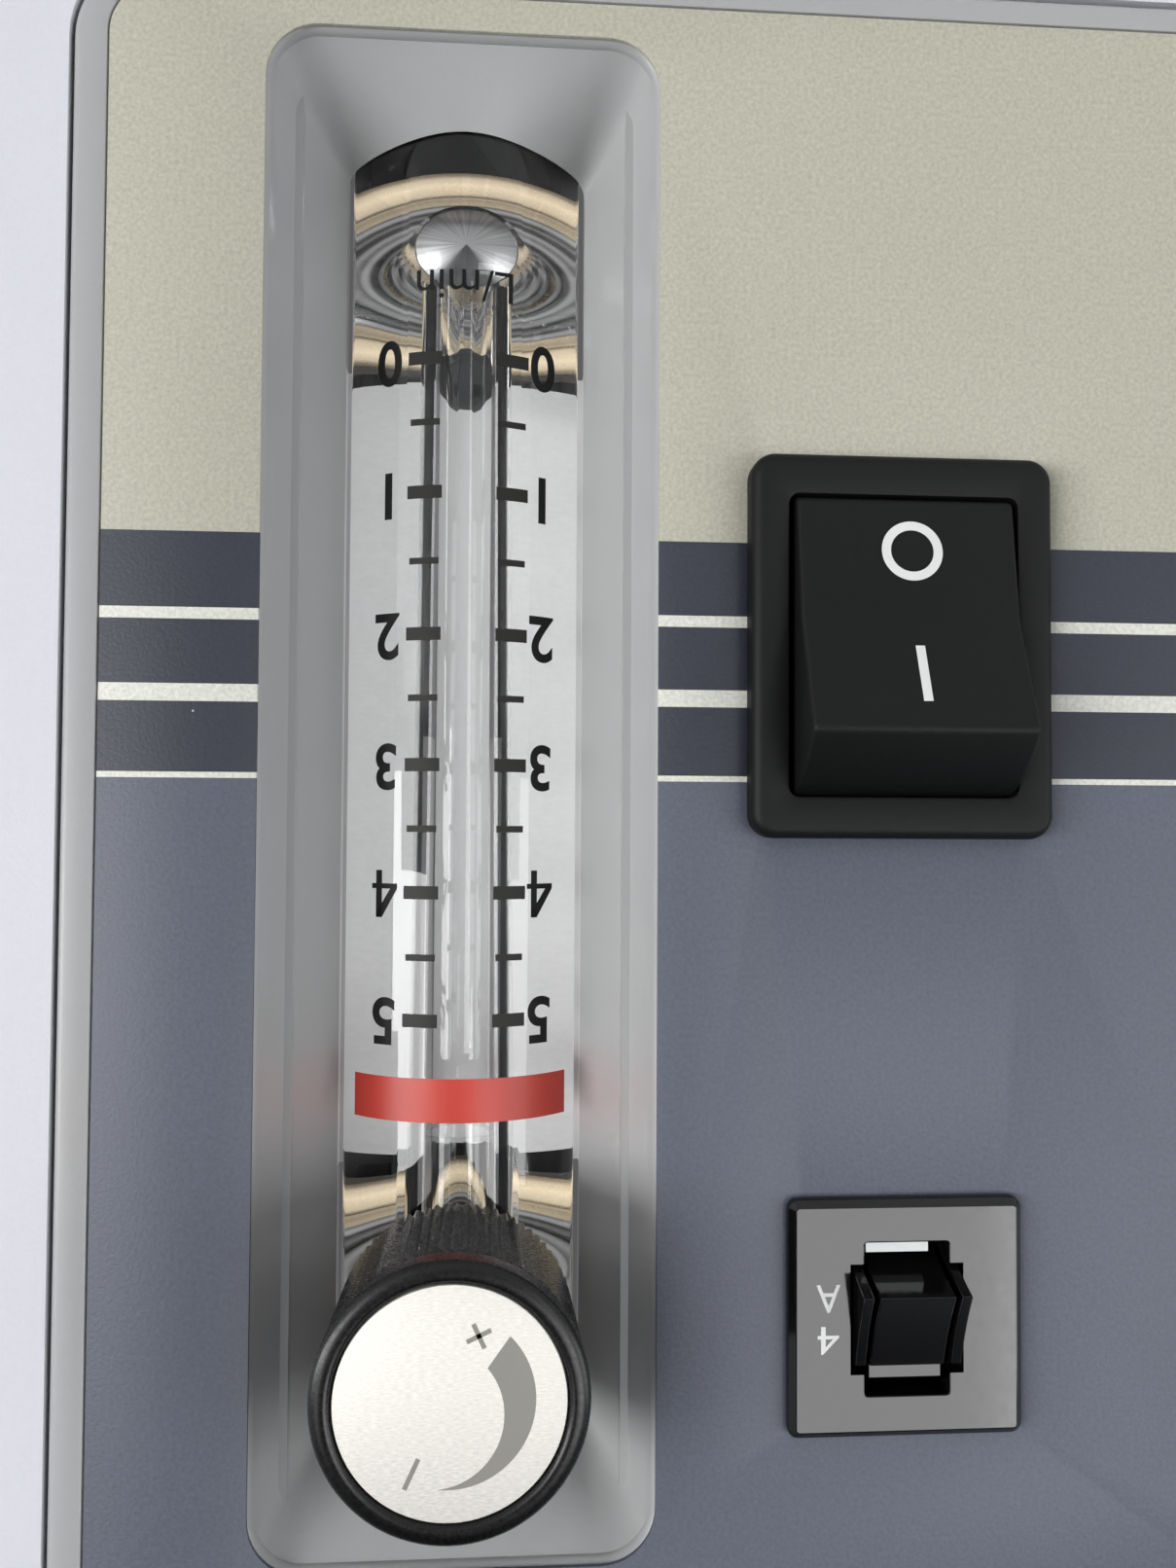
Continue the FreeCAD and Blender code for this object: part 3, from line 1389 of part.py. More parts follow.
# ---- the parts -----------------------------------------------------------------------
def parts_list():
    nodes = {
        "front_cover": front_cover(),
        "rear_cover": rear_cover(),
        "base_tray": base_tray(),
        "screws": Part.makeCompound(cover_screws() + panel_screws()),
        "grip_tub": grip_tub(),
        "grip_bar": grip_bar(),
        "outlet_cup": outlet_cup(),
        "outlet_fitting": outlet_fitting(),
        "outlet_nut": outlet_nut(),
        "humidifier_niche": humidifier_niche(),
        "panel_bezel": panel_bezel(),
        "panel_overlay": panel_overlay(),
        "flow_block": flow_block(),
        "flow_plug": flow_plug(),
        "float_stops": float_stops(),
        "float_ball": float_ball(),
        "backing_plate": backing_plate(),
        "flow_stubs": flow_stubs(),
        "valve_bushing": valve_bushing(),
        "valve_needle": valve_needle(),
        "knob": knob(),
        "knob_disc": knob_disc(),
        "switch_body": switch_body(),
        "switch_rocker": switch_rocker(),
        "breaker_body": breaker_body(),
        "breaker_rocker": breaker_rocker(),
        "breaker_indicator": breaker_indicator(),
        "contact_blades": contact_blades(),
        "intake_grille": intake_grille(),
        "intake_foam": intake_foam(),
        "mains_inlet": mains_inlet(),
        "caster_plates": caster_plates(),
        "sound_box": sound_box(),
        "compressor_case": compressor_case(),
        "compressor_heads": compressor_heads(),
        "compressor_shaft": compressor_shaft(),
        "compressor_vanes": compressor_vanes(),
        "compressor_mounts": compressor_mounts(),
        "fan_frame": fan_frame(),
        "fan_rotor": fan_rotor(),
        "cooling_coil": cooling_coil(),
        "sieve_beds": sieve_beds(),
        "product_tank": product_tank(),
        "valve_manifold": valve_manifold(),
        "solenoid_valves": solenoid_valves(),
        "pressure_regulator": pressure_regulator(),
        "intake_filter": intake_filter(),
        "exhaust_muffler": exhaust_muffler(),
        "run_capacitor": run_capacitor(),
        "control_board": control_board(),
        "air_hoses": air_hoses(),
    }
    for place, (x, y) in caster_places().items():
        nodes["caster_fork_" + place] = caster_fork(x, y)
        nodes["caster_wheel_" + place] = caster_wheel(x, y)
    return nodes


os.makedirs("parts", exist_ok=True)
for name, shape in parts_list().items():
    shape.exportStep("parts/" + name + ".step")
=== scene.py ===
import bmesh
import bpy
import json
import math
from mathutils import Matrix
from mathutils import Vector

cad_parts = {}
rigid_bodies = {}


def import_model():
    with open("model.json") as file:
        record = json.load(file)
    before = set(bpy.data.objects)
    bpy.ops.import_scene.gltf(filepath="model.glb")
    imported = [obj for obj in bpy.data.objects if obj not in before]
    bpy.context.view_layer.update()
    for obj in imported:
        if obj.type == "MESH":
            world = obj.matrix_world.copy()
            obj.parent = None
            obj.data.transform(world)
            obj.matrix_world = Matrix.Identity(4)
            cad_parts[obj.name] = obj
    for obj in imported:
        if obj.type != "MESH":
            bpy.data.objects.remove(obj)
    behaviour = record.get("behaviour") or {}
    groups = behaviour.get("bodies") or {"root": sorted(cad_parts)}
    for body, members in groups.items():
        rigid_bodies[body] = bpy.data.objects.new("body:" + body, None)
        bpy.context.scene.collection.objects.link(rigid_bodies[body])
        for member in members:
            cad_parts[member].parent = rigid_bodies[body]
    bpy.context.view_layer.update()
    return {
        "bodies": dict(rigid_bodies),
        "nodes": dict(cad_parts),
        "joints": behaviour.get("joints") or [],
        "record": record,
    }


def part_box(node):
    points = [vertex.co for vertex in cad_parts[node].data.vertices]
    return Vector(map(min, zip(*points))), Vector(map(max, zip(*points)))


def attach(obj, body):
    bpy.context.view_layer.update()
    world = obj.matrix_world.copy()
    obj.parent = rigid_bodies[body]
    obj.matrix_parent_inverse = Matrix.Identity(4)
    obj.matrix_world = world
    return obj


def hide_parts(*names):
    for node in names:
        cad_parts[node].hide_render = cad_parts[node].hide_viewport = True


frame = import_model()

# Looks of the stationary oxygen concentrator. -Y is its front, +Z is up, and +X is to
# the right of someone who faces the front. Shapes are worked in millimetres and made
# metres when a piece is finished.

nodes = frame["nodes"]
scene = bpy.context.scene


# ---- places, from the frame ----------------------------------------------------------
def node_box(name):
    """Lowest and highest corner of a CAD node, in millimetres."""
    low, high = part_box(name)
    return low * 1000, high * 1000


bezel_low, bezel_high = node_box("panel_bezel")
film_low, film_high = node_box("panel_overlay")
block_low, block_high = node_box("flow_block")
float_low, float_high = node_box("float_ball")
disc_low, disc_high = node_box("knob_disc")
knob_low, knob_high = node_box("knob")
frame_low, frame_high = node_box("switch_body")
plate_low, plate_high = node_box("breaker_body")

front_y = node_box("front_cover")[0].y
panel_z = (film_low.z + film_high.z) / 2
film_y = film_low.y
flow_x = (block_low.x + block_high.x) / 2
knob_z = (disc_low.z + disc_high.z) / 2
switch_x = (frame_low.x + frame_high.x) / 2
switch_z = (frame_low.z + frame_high.z) / 2
breaker_x = (plate_low.x + plate_high.x) / 2
breaker_z = (plate_low.z + plate_high.z) / 2

# ---- control panel sizes -------------------------------------------------------------
flange = 6.0
panel_w = bezel_high.x - bezel_low.x - 2 * flange
panel_h = bezel_high.z - bezel_low.z - 2 * flange
panel_r = 7.0
pocket_depth = 0.4
film_gap = 0.15
film_w = film_high.x - film_low.x
film_h = film_high.z - film_low.z
film_r = 4.2
recess_w = 31.5
recess_h = 123.3
recess_r = 4.0
recess_depth = 10.1
recess_end_run = 7.1        # along the panel, from the rim to an end wall's foot
recess_z = panel_z - 1.35
block_w = block_high.x - block_low.x
block_gap = 0.6
nose_depth = block_low.y - front_y
switch_hole = (22.6, 29.4)
breaker_hole = (17.0, 17.4)
bore_depth = 15.0
bore_low_r = 2.8
bore_high_r = 3.5
port_r = 3.6
port_point = 0.45           # a drill point's length over its radius
inlet_z = panel_z - 49.1
seat_depth = bore_depth + bore_high_r + 0.4
stub_room = 2.2
thread_pitch = 1.0
thread_depth = 0.3
arch_gap = 0.2              # between the block's front and the moulding around its ends
ledge = 1.2                 # the moulding closes round the block's foot over this depth
ledge_gap = 0.05
arch_lap = 0.6              # an end wall's foot is this far below the block's front
INK = 0.012                 # how thick a printed mark is


# ---- mesh helpers --------------------------------------------------------------------
FACE_FRONT = Matrix.Rotation(math.radians(90), 4, "X")    # what faces +Z faces -Y


def place_on_front(centre, y, width, height):
    """Turns a unit square in the XY plane to an upright rectangle that faces -Y."""
    return (Matrix.Translation((centre[0], y, centre[1])) @ FACE_FRONT
            @ Matrix.Diagonal((width, height, 1, 1)))


def new_edges(bm, before):
    """The edges made since a set of them was taken."""
    return [edge for edge in bm.edges if edge not in before]


def outline(bm, centre, size, radius, y, steps):
    """The edges of a rounded rectangle that faces -Y."""
    before = set(bm.edges)
    made = bmesh.ops.create_grid(bm, x_segments=1, y_segments=1, size=0.5,
                                 matrix=place_on_front(centre, y, *size))
    bmesh.ops.delete(bm, geom=[made["verts"][0].link_faces[0]], context="FACES_ONLY")
    face = bmesh.ops.contextual_create(bm, geom=new_edges(bm, before))["faces"][0]
    bmesh.ops.bevel(bm, geom=list(face.verts), offset=radius, segments=steps,
                    profile=0.5, affect="VERTICES", material=-1)
    face = [f for f in bm.faces if any(e not in before for e in f.edges)
            and len(f.edges) > 4 * steps - 1]
    bmesh.ops.delete(bm, geom=face, context="FACES_ONLY")
    return new_edges(bm, before)


def bridge(bm, loops):
    for near, far in zip(loops, loops[1:]):
        bmesh.ops.bridge_loops(bm, edges=near + far)


def rings(bm, centre, size, radius, stations, steps):
    """Bridged outlines; each station is how far it is grown and its y."""
    loops = [outline(bm, centre, (size[0] + 2 * grow, size[1] + 2 * grow),
                     radius + grow, y, steps) for grow, y in stations]
    bridge(bm, loops)
    return loops[0], loops[-1]


def close(bm, *loops):
    """A flat face on each loop."""
    for loop in loops:
        bmesh.ops.contextual_create(bm, geom=loop)


def fill(bm, loops):
    """A flat face between loops, with the inner ones left open."""
    edges = [edge for loop in loops for edge in loop]
    bmesh.ops.triangle_fill(bm, use_beauty=True, use_dissolve=False, edges=edges)


def rounding(radius, y):
    """Stations of a quarter round, from a side wall on to the face that lies at y."""
    angles = [math.radians(18 * step) for step in range(1, 6)]
    return [(-radius * (1 - math.cos(a)), y + radius * (1 - math.sin(a)))
            for a in angles]


def vert_at(bm, *place):
    return bmesh.ops.create_vert(bm, co=place)["vert"][0]


def joined(bm, verts):
    """A closed chain of edges through the verts."""
    return [bm.edges.new(pair) for pair in zip(verts, verts[1:] + verts[:1])]


def new_verts(made):
    return [part for part in made["geom"] if isinstance(part, bmesh.types.BMVert)]


def turned(bm, profile, centre, axis, steps=96):
    """A closed profile of (radius, height) pairs spun about an axis."""
    verts = [vert_at(bm, radius, 0, height) for radius, height in profile]
    edges = joined(bm, verts)
    before = set(bm.verts) - set(verts)
    bmesh.ops.spin(bm, geom=verts + edges, cent=(0, 0, 0), axis=(0, 0, 1),
                   angle=math.radians(360), steps=steps, use_merge=True,
                   use_normal_flip=False, use_duplicate=False)
    shape = [vert for vert in bm.verts if vert not in before]
    bmesh.ops.remove_doubles(bm, verts=shape, dist=0.0005)
    shape = [vert for vert in bm.verts if vert not in before]
    turn = Vector((0, 0, 1)).rotation_difference(Vector(axis)).to_matrix().to_4x4()
    bmesh.ops.transform(bm, matrix=Matrix.Translation(centre) @ turn, verts=shape)


def soften(bm, edges, offset, segments=3):
    bmesh.ops.bevel(bm, geom=edges, offset=offset, segments=segments, profile=0.5,
                    affect="EDGES", material=-1)


def sharp_edges(bm, degrees):
    """Edges where the faces meet at more than an angle."""
    return [e for e in bm.edges if e.calc_face_angle(0) > math.radians(degrees)]


def smooth(mesh, crease):
    """Smooth faces, sharp where they meet at more than the crease's angle."""
    mesh.polygons.foreach_set("use_smooth", [True] * len(mesh.polygons))
    mesh.set_sharp_from_angle(angle=math.radians(crease))


def piece(bm, name, material=None, body="", replaces=(), crease=32):
    """Ends a mesh as an object in metres that rides on a body."""
    bmesh.ops.recalc_face_normals(bm, faces=bm.faces)
    bm.transform(Matrix.Scale(0.001, 4))
    mesh = bpy.data.meshes.new(name)
    bm.to_mesh(mesh)
    bm.free()
    made = bpy.data.objects.new(name, mesh)
    scene.collection.objects.link(made)
    if material:
        mesh.materials.append(material)
    smooth(mesh, crease)
    if body:
        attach(made, body)
    if replaces:
        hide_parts(*replaces)
    return made


def take_over(bm, other):
    """Moves all that another mesh holds into this one."""
    mesh = bpy.data.meshes.new("part")
    other.to_mesh(mesh)
    other.free()
    bm.from_mesh(mesh)
    bpy.data.meshes.remove(mesh)


def evaluated_mesh(made):
    bpy.context.view_layer.update()
    depsgraph = bpy.context.evaluated_depsgraph_get()
    return bpy.data.meshes.new_from_object(made.evaluated_get(depsgraph))


def carve(made, cutter, crease):
    """Cuts a closed piece with another, which is then dropped."""
    modifier = made.modifiers.new("cut", "BOOLEAN")
    modifier.object = cutter
    modifier.solver = "EXACT"
    modifier.operation = "DIFFERENCE"
    made.data = evaluated_mesh(made)
    made.modifiers.clear()
    smooth(made.data, crease)
    bpy.data.objects.remove(cutter)


# ---- material helpers ----------------------------------------------------------------
def linear(red, green, blue):
    """A colour from 0-255 display values."""
    values = []
    for channel in (red, green, blue):
        c = channel / 255
        values.append(c / 12.92 if c <= 0.04045 else ((c + 0.055) / 1.055) ** 2.4)
    return (*values, 1.0)


def add(tree, kind, inputs=(), **settings):
    """A node with its settings and its input values or links."""
    node = tree.nodes.new(kind)
    for key, value in settings.items():
        setattr(node, key, value)
    for key, value in dict(inputs).items():
        if isinstance(value, bpy.types.NodeSocket):
            tree.links.new(value, node.inputs[key])
        else:
            node.inputs[key].default_value = value
    return node


def calc(tree, operation, first, second=0.0):
    """A sum laid as a math node."""
    return add(tree, "ShaderNodeMath", {0: first, 1: second},
               operation=operation).outputs[0]


def times(tree, first, second):
    return calc(tree, "MULTIPLY", first, second)


def larger(tree, first, second):
    return calc(tree, "MAXIMUM", first, second)


def distance(tree, first, second):
    return calc(tree, "ABSOLUTE", calc(tree, "SUBTRACT", first, second))


def span(tree, value, low, high, to_low, to_high):
    """Maps one range on to another."""
    return add(tree, "ShaderNodeMapRange",
               {"Value": value, "From Min": low, "From Max": high,
                "To Min": to_low, "To Max": to_high}).outputs[0]


def drift(tree, noise, to_low, to_high):
    """Maps the middle of a noise, where nearly all of it lies, on to a range."""
    return span(tree, noise, 0.3, 0.7, to_low, to_high)


def grey(tree, tone):
    return add(tree, "ShaderNodeCombineColor", {0: tone, 1: tone, 2: tone}).outputs[0]


def mix_colour(tree, factor, first, second, blend="MIX"):
    return add(tree, "ShaderNodeMix", {0: factor, 6: first, 7: second},
               data_type="RGBA", blend_type=blend).outputs[2]


def seen_by(tree, *kinds):
    """1 on rays of any of the kinds."""
    path = add(tree, "ShaderNodeLightPath")
    seen = path.outputs[f"Is {kinds[0]} Ray"]
    for kind in kinds[1:]:
        seen = larger(tree, seen, path.outputs[f"Is {kind} Ray"])
    return seen


def ramp(tree, share, stops, interpolation="LINEAR"):
    """A colour ramp from (position, colour) stops."""
    node = add(tree, "ShaderNodeValToRGB", {"Fac": share})
    node.color_ramp.interpolation = interpolation
    elements = node.color_ramp.elements
    for index, (position, colour) in enumerate(stops):
        stop = elements[index] if index < 2 else elements.new(position)
        stop.position = position
        stop.color = colour
    return node.outputs[0]


def new_group(name, inputs, output_names):
    """A shader node group with named sockets, the first for a place on the piece."""
    tree = bpy.data.node_groups.new(name, "ShaderNodeTree")
    new_socket = tree.interface.new_socket
    new_socket("Position", in_out="INPUT", socket_type="NodeSocketVector")
    for socket, value in inputs.items():
        made = new_socket(socket, in_out="INPUT", socket_type="NodeSocketFloat")
        made.default_value = value
    for socket in output_names:
        new_socket(socket, in_out="OUTPUT", socket_type="NodeSocketFloat")
    given = tree.nodes.new("NodeGroupInput").outputs
    return tree, given, tree.nodes.new("NodeGroupOutput").inputs


def moulded_grain():
    """Fine spark-eroded texture: a height and a slow tone drift."""
    tree, given, out = new_group("moulded_grain", {"Cell": 0.3}, ("Height", "Tone"))
    per_cell = calc(tree, "DIVIDE", 1.0, given["Cell"])
    fine = add(tree, "ShaderNodeTexNoise", {"Vector": given["Position"],
                                            "Scale": per_cell, "Detail": 3.0,
                                            "Roughness": 0.6})
    slow = add(tree, "ShaderNodeTexNoise", {"Vector": given["Position"],
                                            "Scale": 0.035, "Detail": 2.0})
    tree.links.new(fine.outputs["Fac"], out["Height"])
    tree.links.new(slow.outputs["Fac"], out["Tone"])
    return tree


def dust_specks():
    """Sparse pale specks."""
    tree, given, out = new_group("dust_specks", {"Spacing": 4.0, "Size": 0.06,
                                                 "Share": 0.3}, ("Mask",))
    per_cell = calc(tree, "DIVIDE", 1.0, given["Spacing"])
    cells = add(tree, "ShaderNodeTexVoronoi", {"Vector": given["Position"],
                                               "Scale": per_cell, "Randomness": 1.0})
    radius = calc(tree, "DIVIDE", given["Size"], given["Spacing"])
    near = calc(tree, "LESS_THAN", cells.outputs["Distance"], radius)
    pick = add(tree, "ShaderNodeSeparateColor", {"Color": cells.outputs["Color"]})
    chosen = calc(tree, "LESS_THAN", pick.outputs[0], given["Share"])
    tree.links.new(times(tree, near, chosen), out["Mask"])
    return tree


grain_group = moulded_grain()
dust_group = dust_specks()


class Finish:
    """One material under construction: its tree, its shader and its position in mm."""

    def __init__(self, name, **shader):
        self.material = bpy.data.materials.new(name)
        self.material.use_nodes = True
        self.tree = self.material.node_tree
        self.shader = self.tree.nodes["Principled BSDF"]
        self.output = self.tree.nodes["Material Output"]
        coordinates = add(self.tree, "ShaderNodeTexCoord")
        self.place = add(self.tree, "ShaderNodeMapping",
                         {"Vector": coordinates.outputs["Object"],
                          "Scale": (1000, 1000, 1000)}).outputs[0]
        for socket, value in shader.items():
            self.shader.inputs[socket.replace("_", " ")].default_value = value

    def feed(self, socket, source):
        self.tree.links.new(source, self.shader.inputs[socket])

    def axes(self):
        return add(self.tree, "ShaderNodeSeparateXYZ", {"Vector": self.place}).outputs

    def effect(self, group, **values):
        """Places a shared effect and gives what it puts out."""
        return add(self.tree, "ShaderNodeGroup", {"Position": self.place, **values},
                   node_tree=group).outputs

    def grain(self, cell):
        return self.effect(grain_group, Cell=cell)

    def dusty(self, paint, spacing, size, share, colour=(205, 205, 200)):
        """Lays specks of dust over a paint."""
        mask = self.effect(dust_group, Spacing=spacing, Size=size, Share=share)[0]
        return mix_colour(self.tree, mask, paint, linear(*colour))

    def tinted(self, colour, tone):
        return mix_colour(self.tree, 1.0, colour, grey(self.tree, tone), "MULTIPLY")

    def bump(self, height, depth):
        """Depth is in millimetres for a height that runs from 0 to 1."""
        node = add(self.tree, "ShaderNodeBump", {"Height": height, "Strength": 1.0,
                                                 "Distance": depth / 1000})
        self.feed("Normal", node.outputs[0])

    def uneven(self, socket, noise, low, high):
        """Lets a noise move a value of the shader."""
        self.feed(socket, drift(self.tree, noise, low, high))


def plastic(name, colour, cell, depth, rough, shade=0.04, dust=0.0, **shader):
    """Moulded plastic with grain in its colour, roughness and surface."""
    finish = Finish(name, **shader)
    tree = finish.tree
    height, tone = finish.grain(cell)
    slow = drift(tree, tone, 1 - shade, 1 + shade)
    speck = drift(tree, height, 1 - shade, 1 + shade)
    paint = finish.tinted(linear(*colour), times(tree, slow, speck))
    if dust:
        paint = finish.dusty(paint, 3.0, 0.05, dust)
    finish.feed("Base Color", paint)
    finish.uneven("Roughness", height, rough - 0.04, rough + 0.05)
    finish.bump(height, depth)
    return finish.material


def metal(name, colour, rough, brushed=(1, 1, 1), cell=0.15, depth=0.004):
    """Metal with fine marks, stretched along the small values of brushed."""
    finish = Finish(name, Metallic=1.0)
    tree = finish.tree
    stretch = add(tree, "ShaderNodeMapping", {"Vector": finish.place, "Scale": brushed})
    marks = add(tree, "ShaderNodeTexNoise", {"Vector": stretch.outputs[0],
                                             "Scale": 1 / cell, "Detail": 4.0})
    mark = marks.outputs["Fac"]
    finish.feed("Base Color", finish.tinted(linear(*colour),
                                            drift(tree, mark, 0.86, 1.08)))
    finish.uneven("Roughness", mark, rough - 0.06, rough + 0.08)
    finish.bump(mark, depth)
    return finish.material


# ---- materials -----------------------------------------------------------------------
CREAM = (190, 187, 170)
STRIPE = (42, 46, 59)
FIELD = (88, 92, 106)
LINE = (230, 229, 218)


def film_material():
    """Textured printed film: cream, three dark stripes with pale lines, blue-grey."""
    finish = Finish("printed_film", IOR=1.5)
    tree = finish.tree
    height, tone = finish.grain(0.34)
    bands = [(-40.0, CREAM), (-21.82, STRIPE), (-15.91, LINE), (-14.56, STRIPE),
             (-9.39, LINE), (-8.05, STRIPE), (-2.53, LINE), (-1.90, FIELD)]
    low = panel_z - 60
    high = panel_z + 60
    share = span(tree, finish.axes()[2], low, high, 0.0, 1.0)
    print_colour = ramp(tree, share, [((panel_z + dz - low) / (high - low),
                                       linear(*colour)) for dz, colour in bands],
                        "CONSTANT")
    scale = times(tree, drift(tree, height, 0.86, 1.15), drift(tree, tone, 0.98, 1.02))
    paint = finish.tinted(print_colour, scale)
    finish.feed("Base Color", finish.dusty(paint, 7.0, 0.09, 0.16, (190, 192, 192)))
    finish.uneven("Roughness", height, 0.42, 0.52)
    finish.bump(height, 0.035)
    return finish.material


def backing_material():
    """White backing; for rays through the acrylic and in reflections it glows, painted
    light that stands in for light the block guides.
    """
    finish = Finish("backing_white", Roughness=0.5)
    tree = finish.tree
    height = finish.grain(0.4)[0]
    off = distance(tree, finish.axes()[0], flow_x)
    # Painted light: a glow, brightest near the block's axis, seen only through the
    # acrylic and in reflections.
    glow = times(tree, span(tree, off, 3.0, 9.0, 0.40, 0.18),
                 seen_by(tree, "Transmission", "Glossy"))
    paint = grey(tree, drift(tree, height, 0.68, 0.72))
    finish.feed("Base Color", paint)
    finish.feed("Emission Color", paint)
    finish.feed("Emission Strength", glow)
    return finish.material


def bezel_material():
    """Grey moulding with painted light: dark shade in the block's room, a glow beside
    the backing, a pink reflection by the red band.
    """
    finish = Finish("bezel_plastic", Emission_Color=linear(236, 236, 240))
    tree = finish.tree
    height, tone = finish.grain(0.28)
    x, y, z = finish.axes()
    across = distance(tree, x, flow_x)
    below_arch = 0.65
    deep = calc(tree, "GREATER_THAN", y, front_y + recess_depth + below_arch)
    in_room = times(tree, deep, calc(tree, "LESS_THAN", across,
                                     block_w / 2 + block_gap + 0.02))
    low, high = node_box("backing_plate")
    beside = times(tree, calc(tree, "GREATER_THAN", z, low.z),
                   calc(tree, "LESS_THAN", z, high.z))
    # Painted reflection: a pink cast of the red band on the recess walls beside it.
    band_height = 24.8
    from_band = distance(tree, z, panel_z + band_height)
    painted_red_reflection = times(tree, span(tree, from_band, 1.0, 5.0, 1.0, 0.0),
                  span(tree, across, 10.6, 15.5, 0.30, 0.05))
    scale = times(tree, drift(tree, tone, 0.988, 1.012),
                  drift(tree, height, 0.988, 1.012))
    paint = finish.tinted(linear(178, 178, 178), scale)
    paint = mix_colour(tree, painted_red_reflection, paint, linear(196, 150, 146))
    # Painted shade: the room behind the block, outside the backing's height, is painted
    # near-black.
    dark = times(tree, in_room, calc(tree, "SUBTRACT", 1.0, beside))
    paint = mix_colour(tree, dark, paint, linear(12, 12, 13))
    finish.feed("Base Color", finish.dusty(paint, 3.0, 0.05, 0.02))
    # Painted light: in the room the moulding glows for rays through the acrylic beside
    # the backing and beyond the block's sides, and more faintly for the camera.
    beside = larger(tree, beside, calc(tree, "GREATER_THAN", across, block_w / 2 + 0.3))
    painted_guided_glow = times(tree, beside, seen_by(tree, "Transmission", "Glossy"))
    painted_camera_glow = times(tree, seen_by(tree, "Camera"), 0.35)
    glow = times(tree, in_room, larger(tree, painted_guided_glow, painted_camera_glow))
    finish.feed("Emission Strength", times(tree, glow, 0.30))
    finish.uneven("Roughness", height, 0.32, 0.41)
    finish.bump(height, 0.010)
    return finish.material


def port_distance(finish):
    """How far a place is from the nearer port's axis."""
    tree = finish.tree
    x, _, height = finish.axes()
    across = calc(tree, "SUBTRACT", x, flow_x)
    reach = []
    for z in (inlet_z, knob_z):
        rise = calc(tree, "SUBTRACT", height, z)
        square = calc(tree, "ADD", times(tree, across, across), times(tree, rise, rise))
        reach.append(calc(tree, "SQRT", square))
    return calc(tree, "MINIMUM", *reach)


def seat_material():
    """The seal's seat: fine turned rings, whose shine through the acrylic is a painted
    glow.
    """
    finish = Finish("seat_steel", Metallic=1.0, Roughness=0.2,
                    Base_Color=linear(90, 90, 88))
    tree = finish.tree
    radius = port_distance(finish)
    fine, slow = (calc(tree, "SINE", times(tree, radius, per_mm))
                  for per_mm in (11.5, 4.3))
    # Painted highlights: the rings' bright and dark bands are emission, seen only on
    # rays through the acrylic.
    tone = span(tree, calc(tree, "ADD", fine, slow), -1.0, 1.8, 0.02, 0.34)
    finish.feed("Emission Color", grey(tree, tone))
    finish.feed("Emission Strength", seen_by(tree, "Transmission"))
    finish.uneven("Roughness", finish.grain(0.5)[0], 0.15, 0.25)
    return finish.material


def collar_material():
    """Nickelled collars of the rear stubs; their turned bands are painted highlights
    that glow through the acrylic.
    """
    finish = Finish("collar_metal", Metallic=1.0, Roughness=0.24,
                    Base_Color=linear(205, 190, 156))
    tree = finish.tree
    low_r = 3.0
    high_r = 10.0
    # Painted highlights: bright and dark turned bands as emission, seen only on rays
    # through the acrylic.
    painted_shine_tones = [(3.4, 0.05), (6.35, 0.10), (6.5, 0.42), (6.9, 0.30), (7.1, 0.40),
             (7.2, 0.08), (7.45, 0.62), (8.3, 0.90), (8.9, 0.62), (9.15, 0.25),
             (9.4, 0.10)]
    share = span(tree, port_distance(finish), low_r, high_r, 0, 1)
    bands = ramp(tree, share, [((r - low_r) / (high_r - low_r),
                                (tone, tone * 0.95, tone * 0.84, 1.0))
                               for r, tone in painted_shine_tones])
    finish.feed("Emission Color", bands)
    finish.feed("Emission Strength", times(tree, 0.55, seen_by(tree, "Transmission")))
    finish.uneven("Roughness", finish.grain(0.5)[0], 0.2, 0.3)
    return finish.material


def turned_point_material():
    """The drill point's turned face, with painted light and shade in sectors about its
    tip.
    """
    finish = Finish("turned_point", Metallic=0.9, Roughness=0.36)
    tree = finish.tree
    x, _, z = finish.axes()
    angle = calc(tree, "ARCTAN2", calc(tree, "SUBTRACT", x, flow_x),
                 calc(tree, "SUBTRACT", z, inlet_z))
    marks = add(tree, "ShaderNodeTexNoise", {"W": angle, "Scale": 9.0, "Detail": 3.0},
                noise_dimensions="1D")
    # Painted light and shade: the face is dark in the sector above its tip and lit
    # towards the sides and below.
    painted_sector_shade = span(tree, calc(tree, "ABSOLUTE", angle), 0.55, 0.95, 0.07, 0.52)
    lines = drift(tree, marks.outputs["Fac"], 0.7, 1.1)
    finish.feed("Base Color", grey(tree, times(tree, painted_sector_shade, lines)))
    return finish.material


def acrylic_material():
    """Clear acrylic; rays towards the lamps pass straight, so its back is lit."""
    finish = Finish("clear_acrylic", Transmission_Weight=1.0, IOR=1.49, Roughness=0.0)
    tree = finish.tree
    height = finish.grain(2.0)[0]
    finish.feed("Roughness", span(tree, height, 0.35, 0.75, 0.0, 0.02))
    clear = add(tree, "ShaderNodeBsdfTransparent")
    mix = add(tree, "ShaderNodeMixShader", {0: seen_by(tree, "Shadow"),
                                            1: finish.shader.outputs[0],
                                            2: clear.outputs[0]})
    tree.links.new(mix.outputs[0], finish.output.inputs[0])
    return finish.material


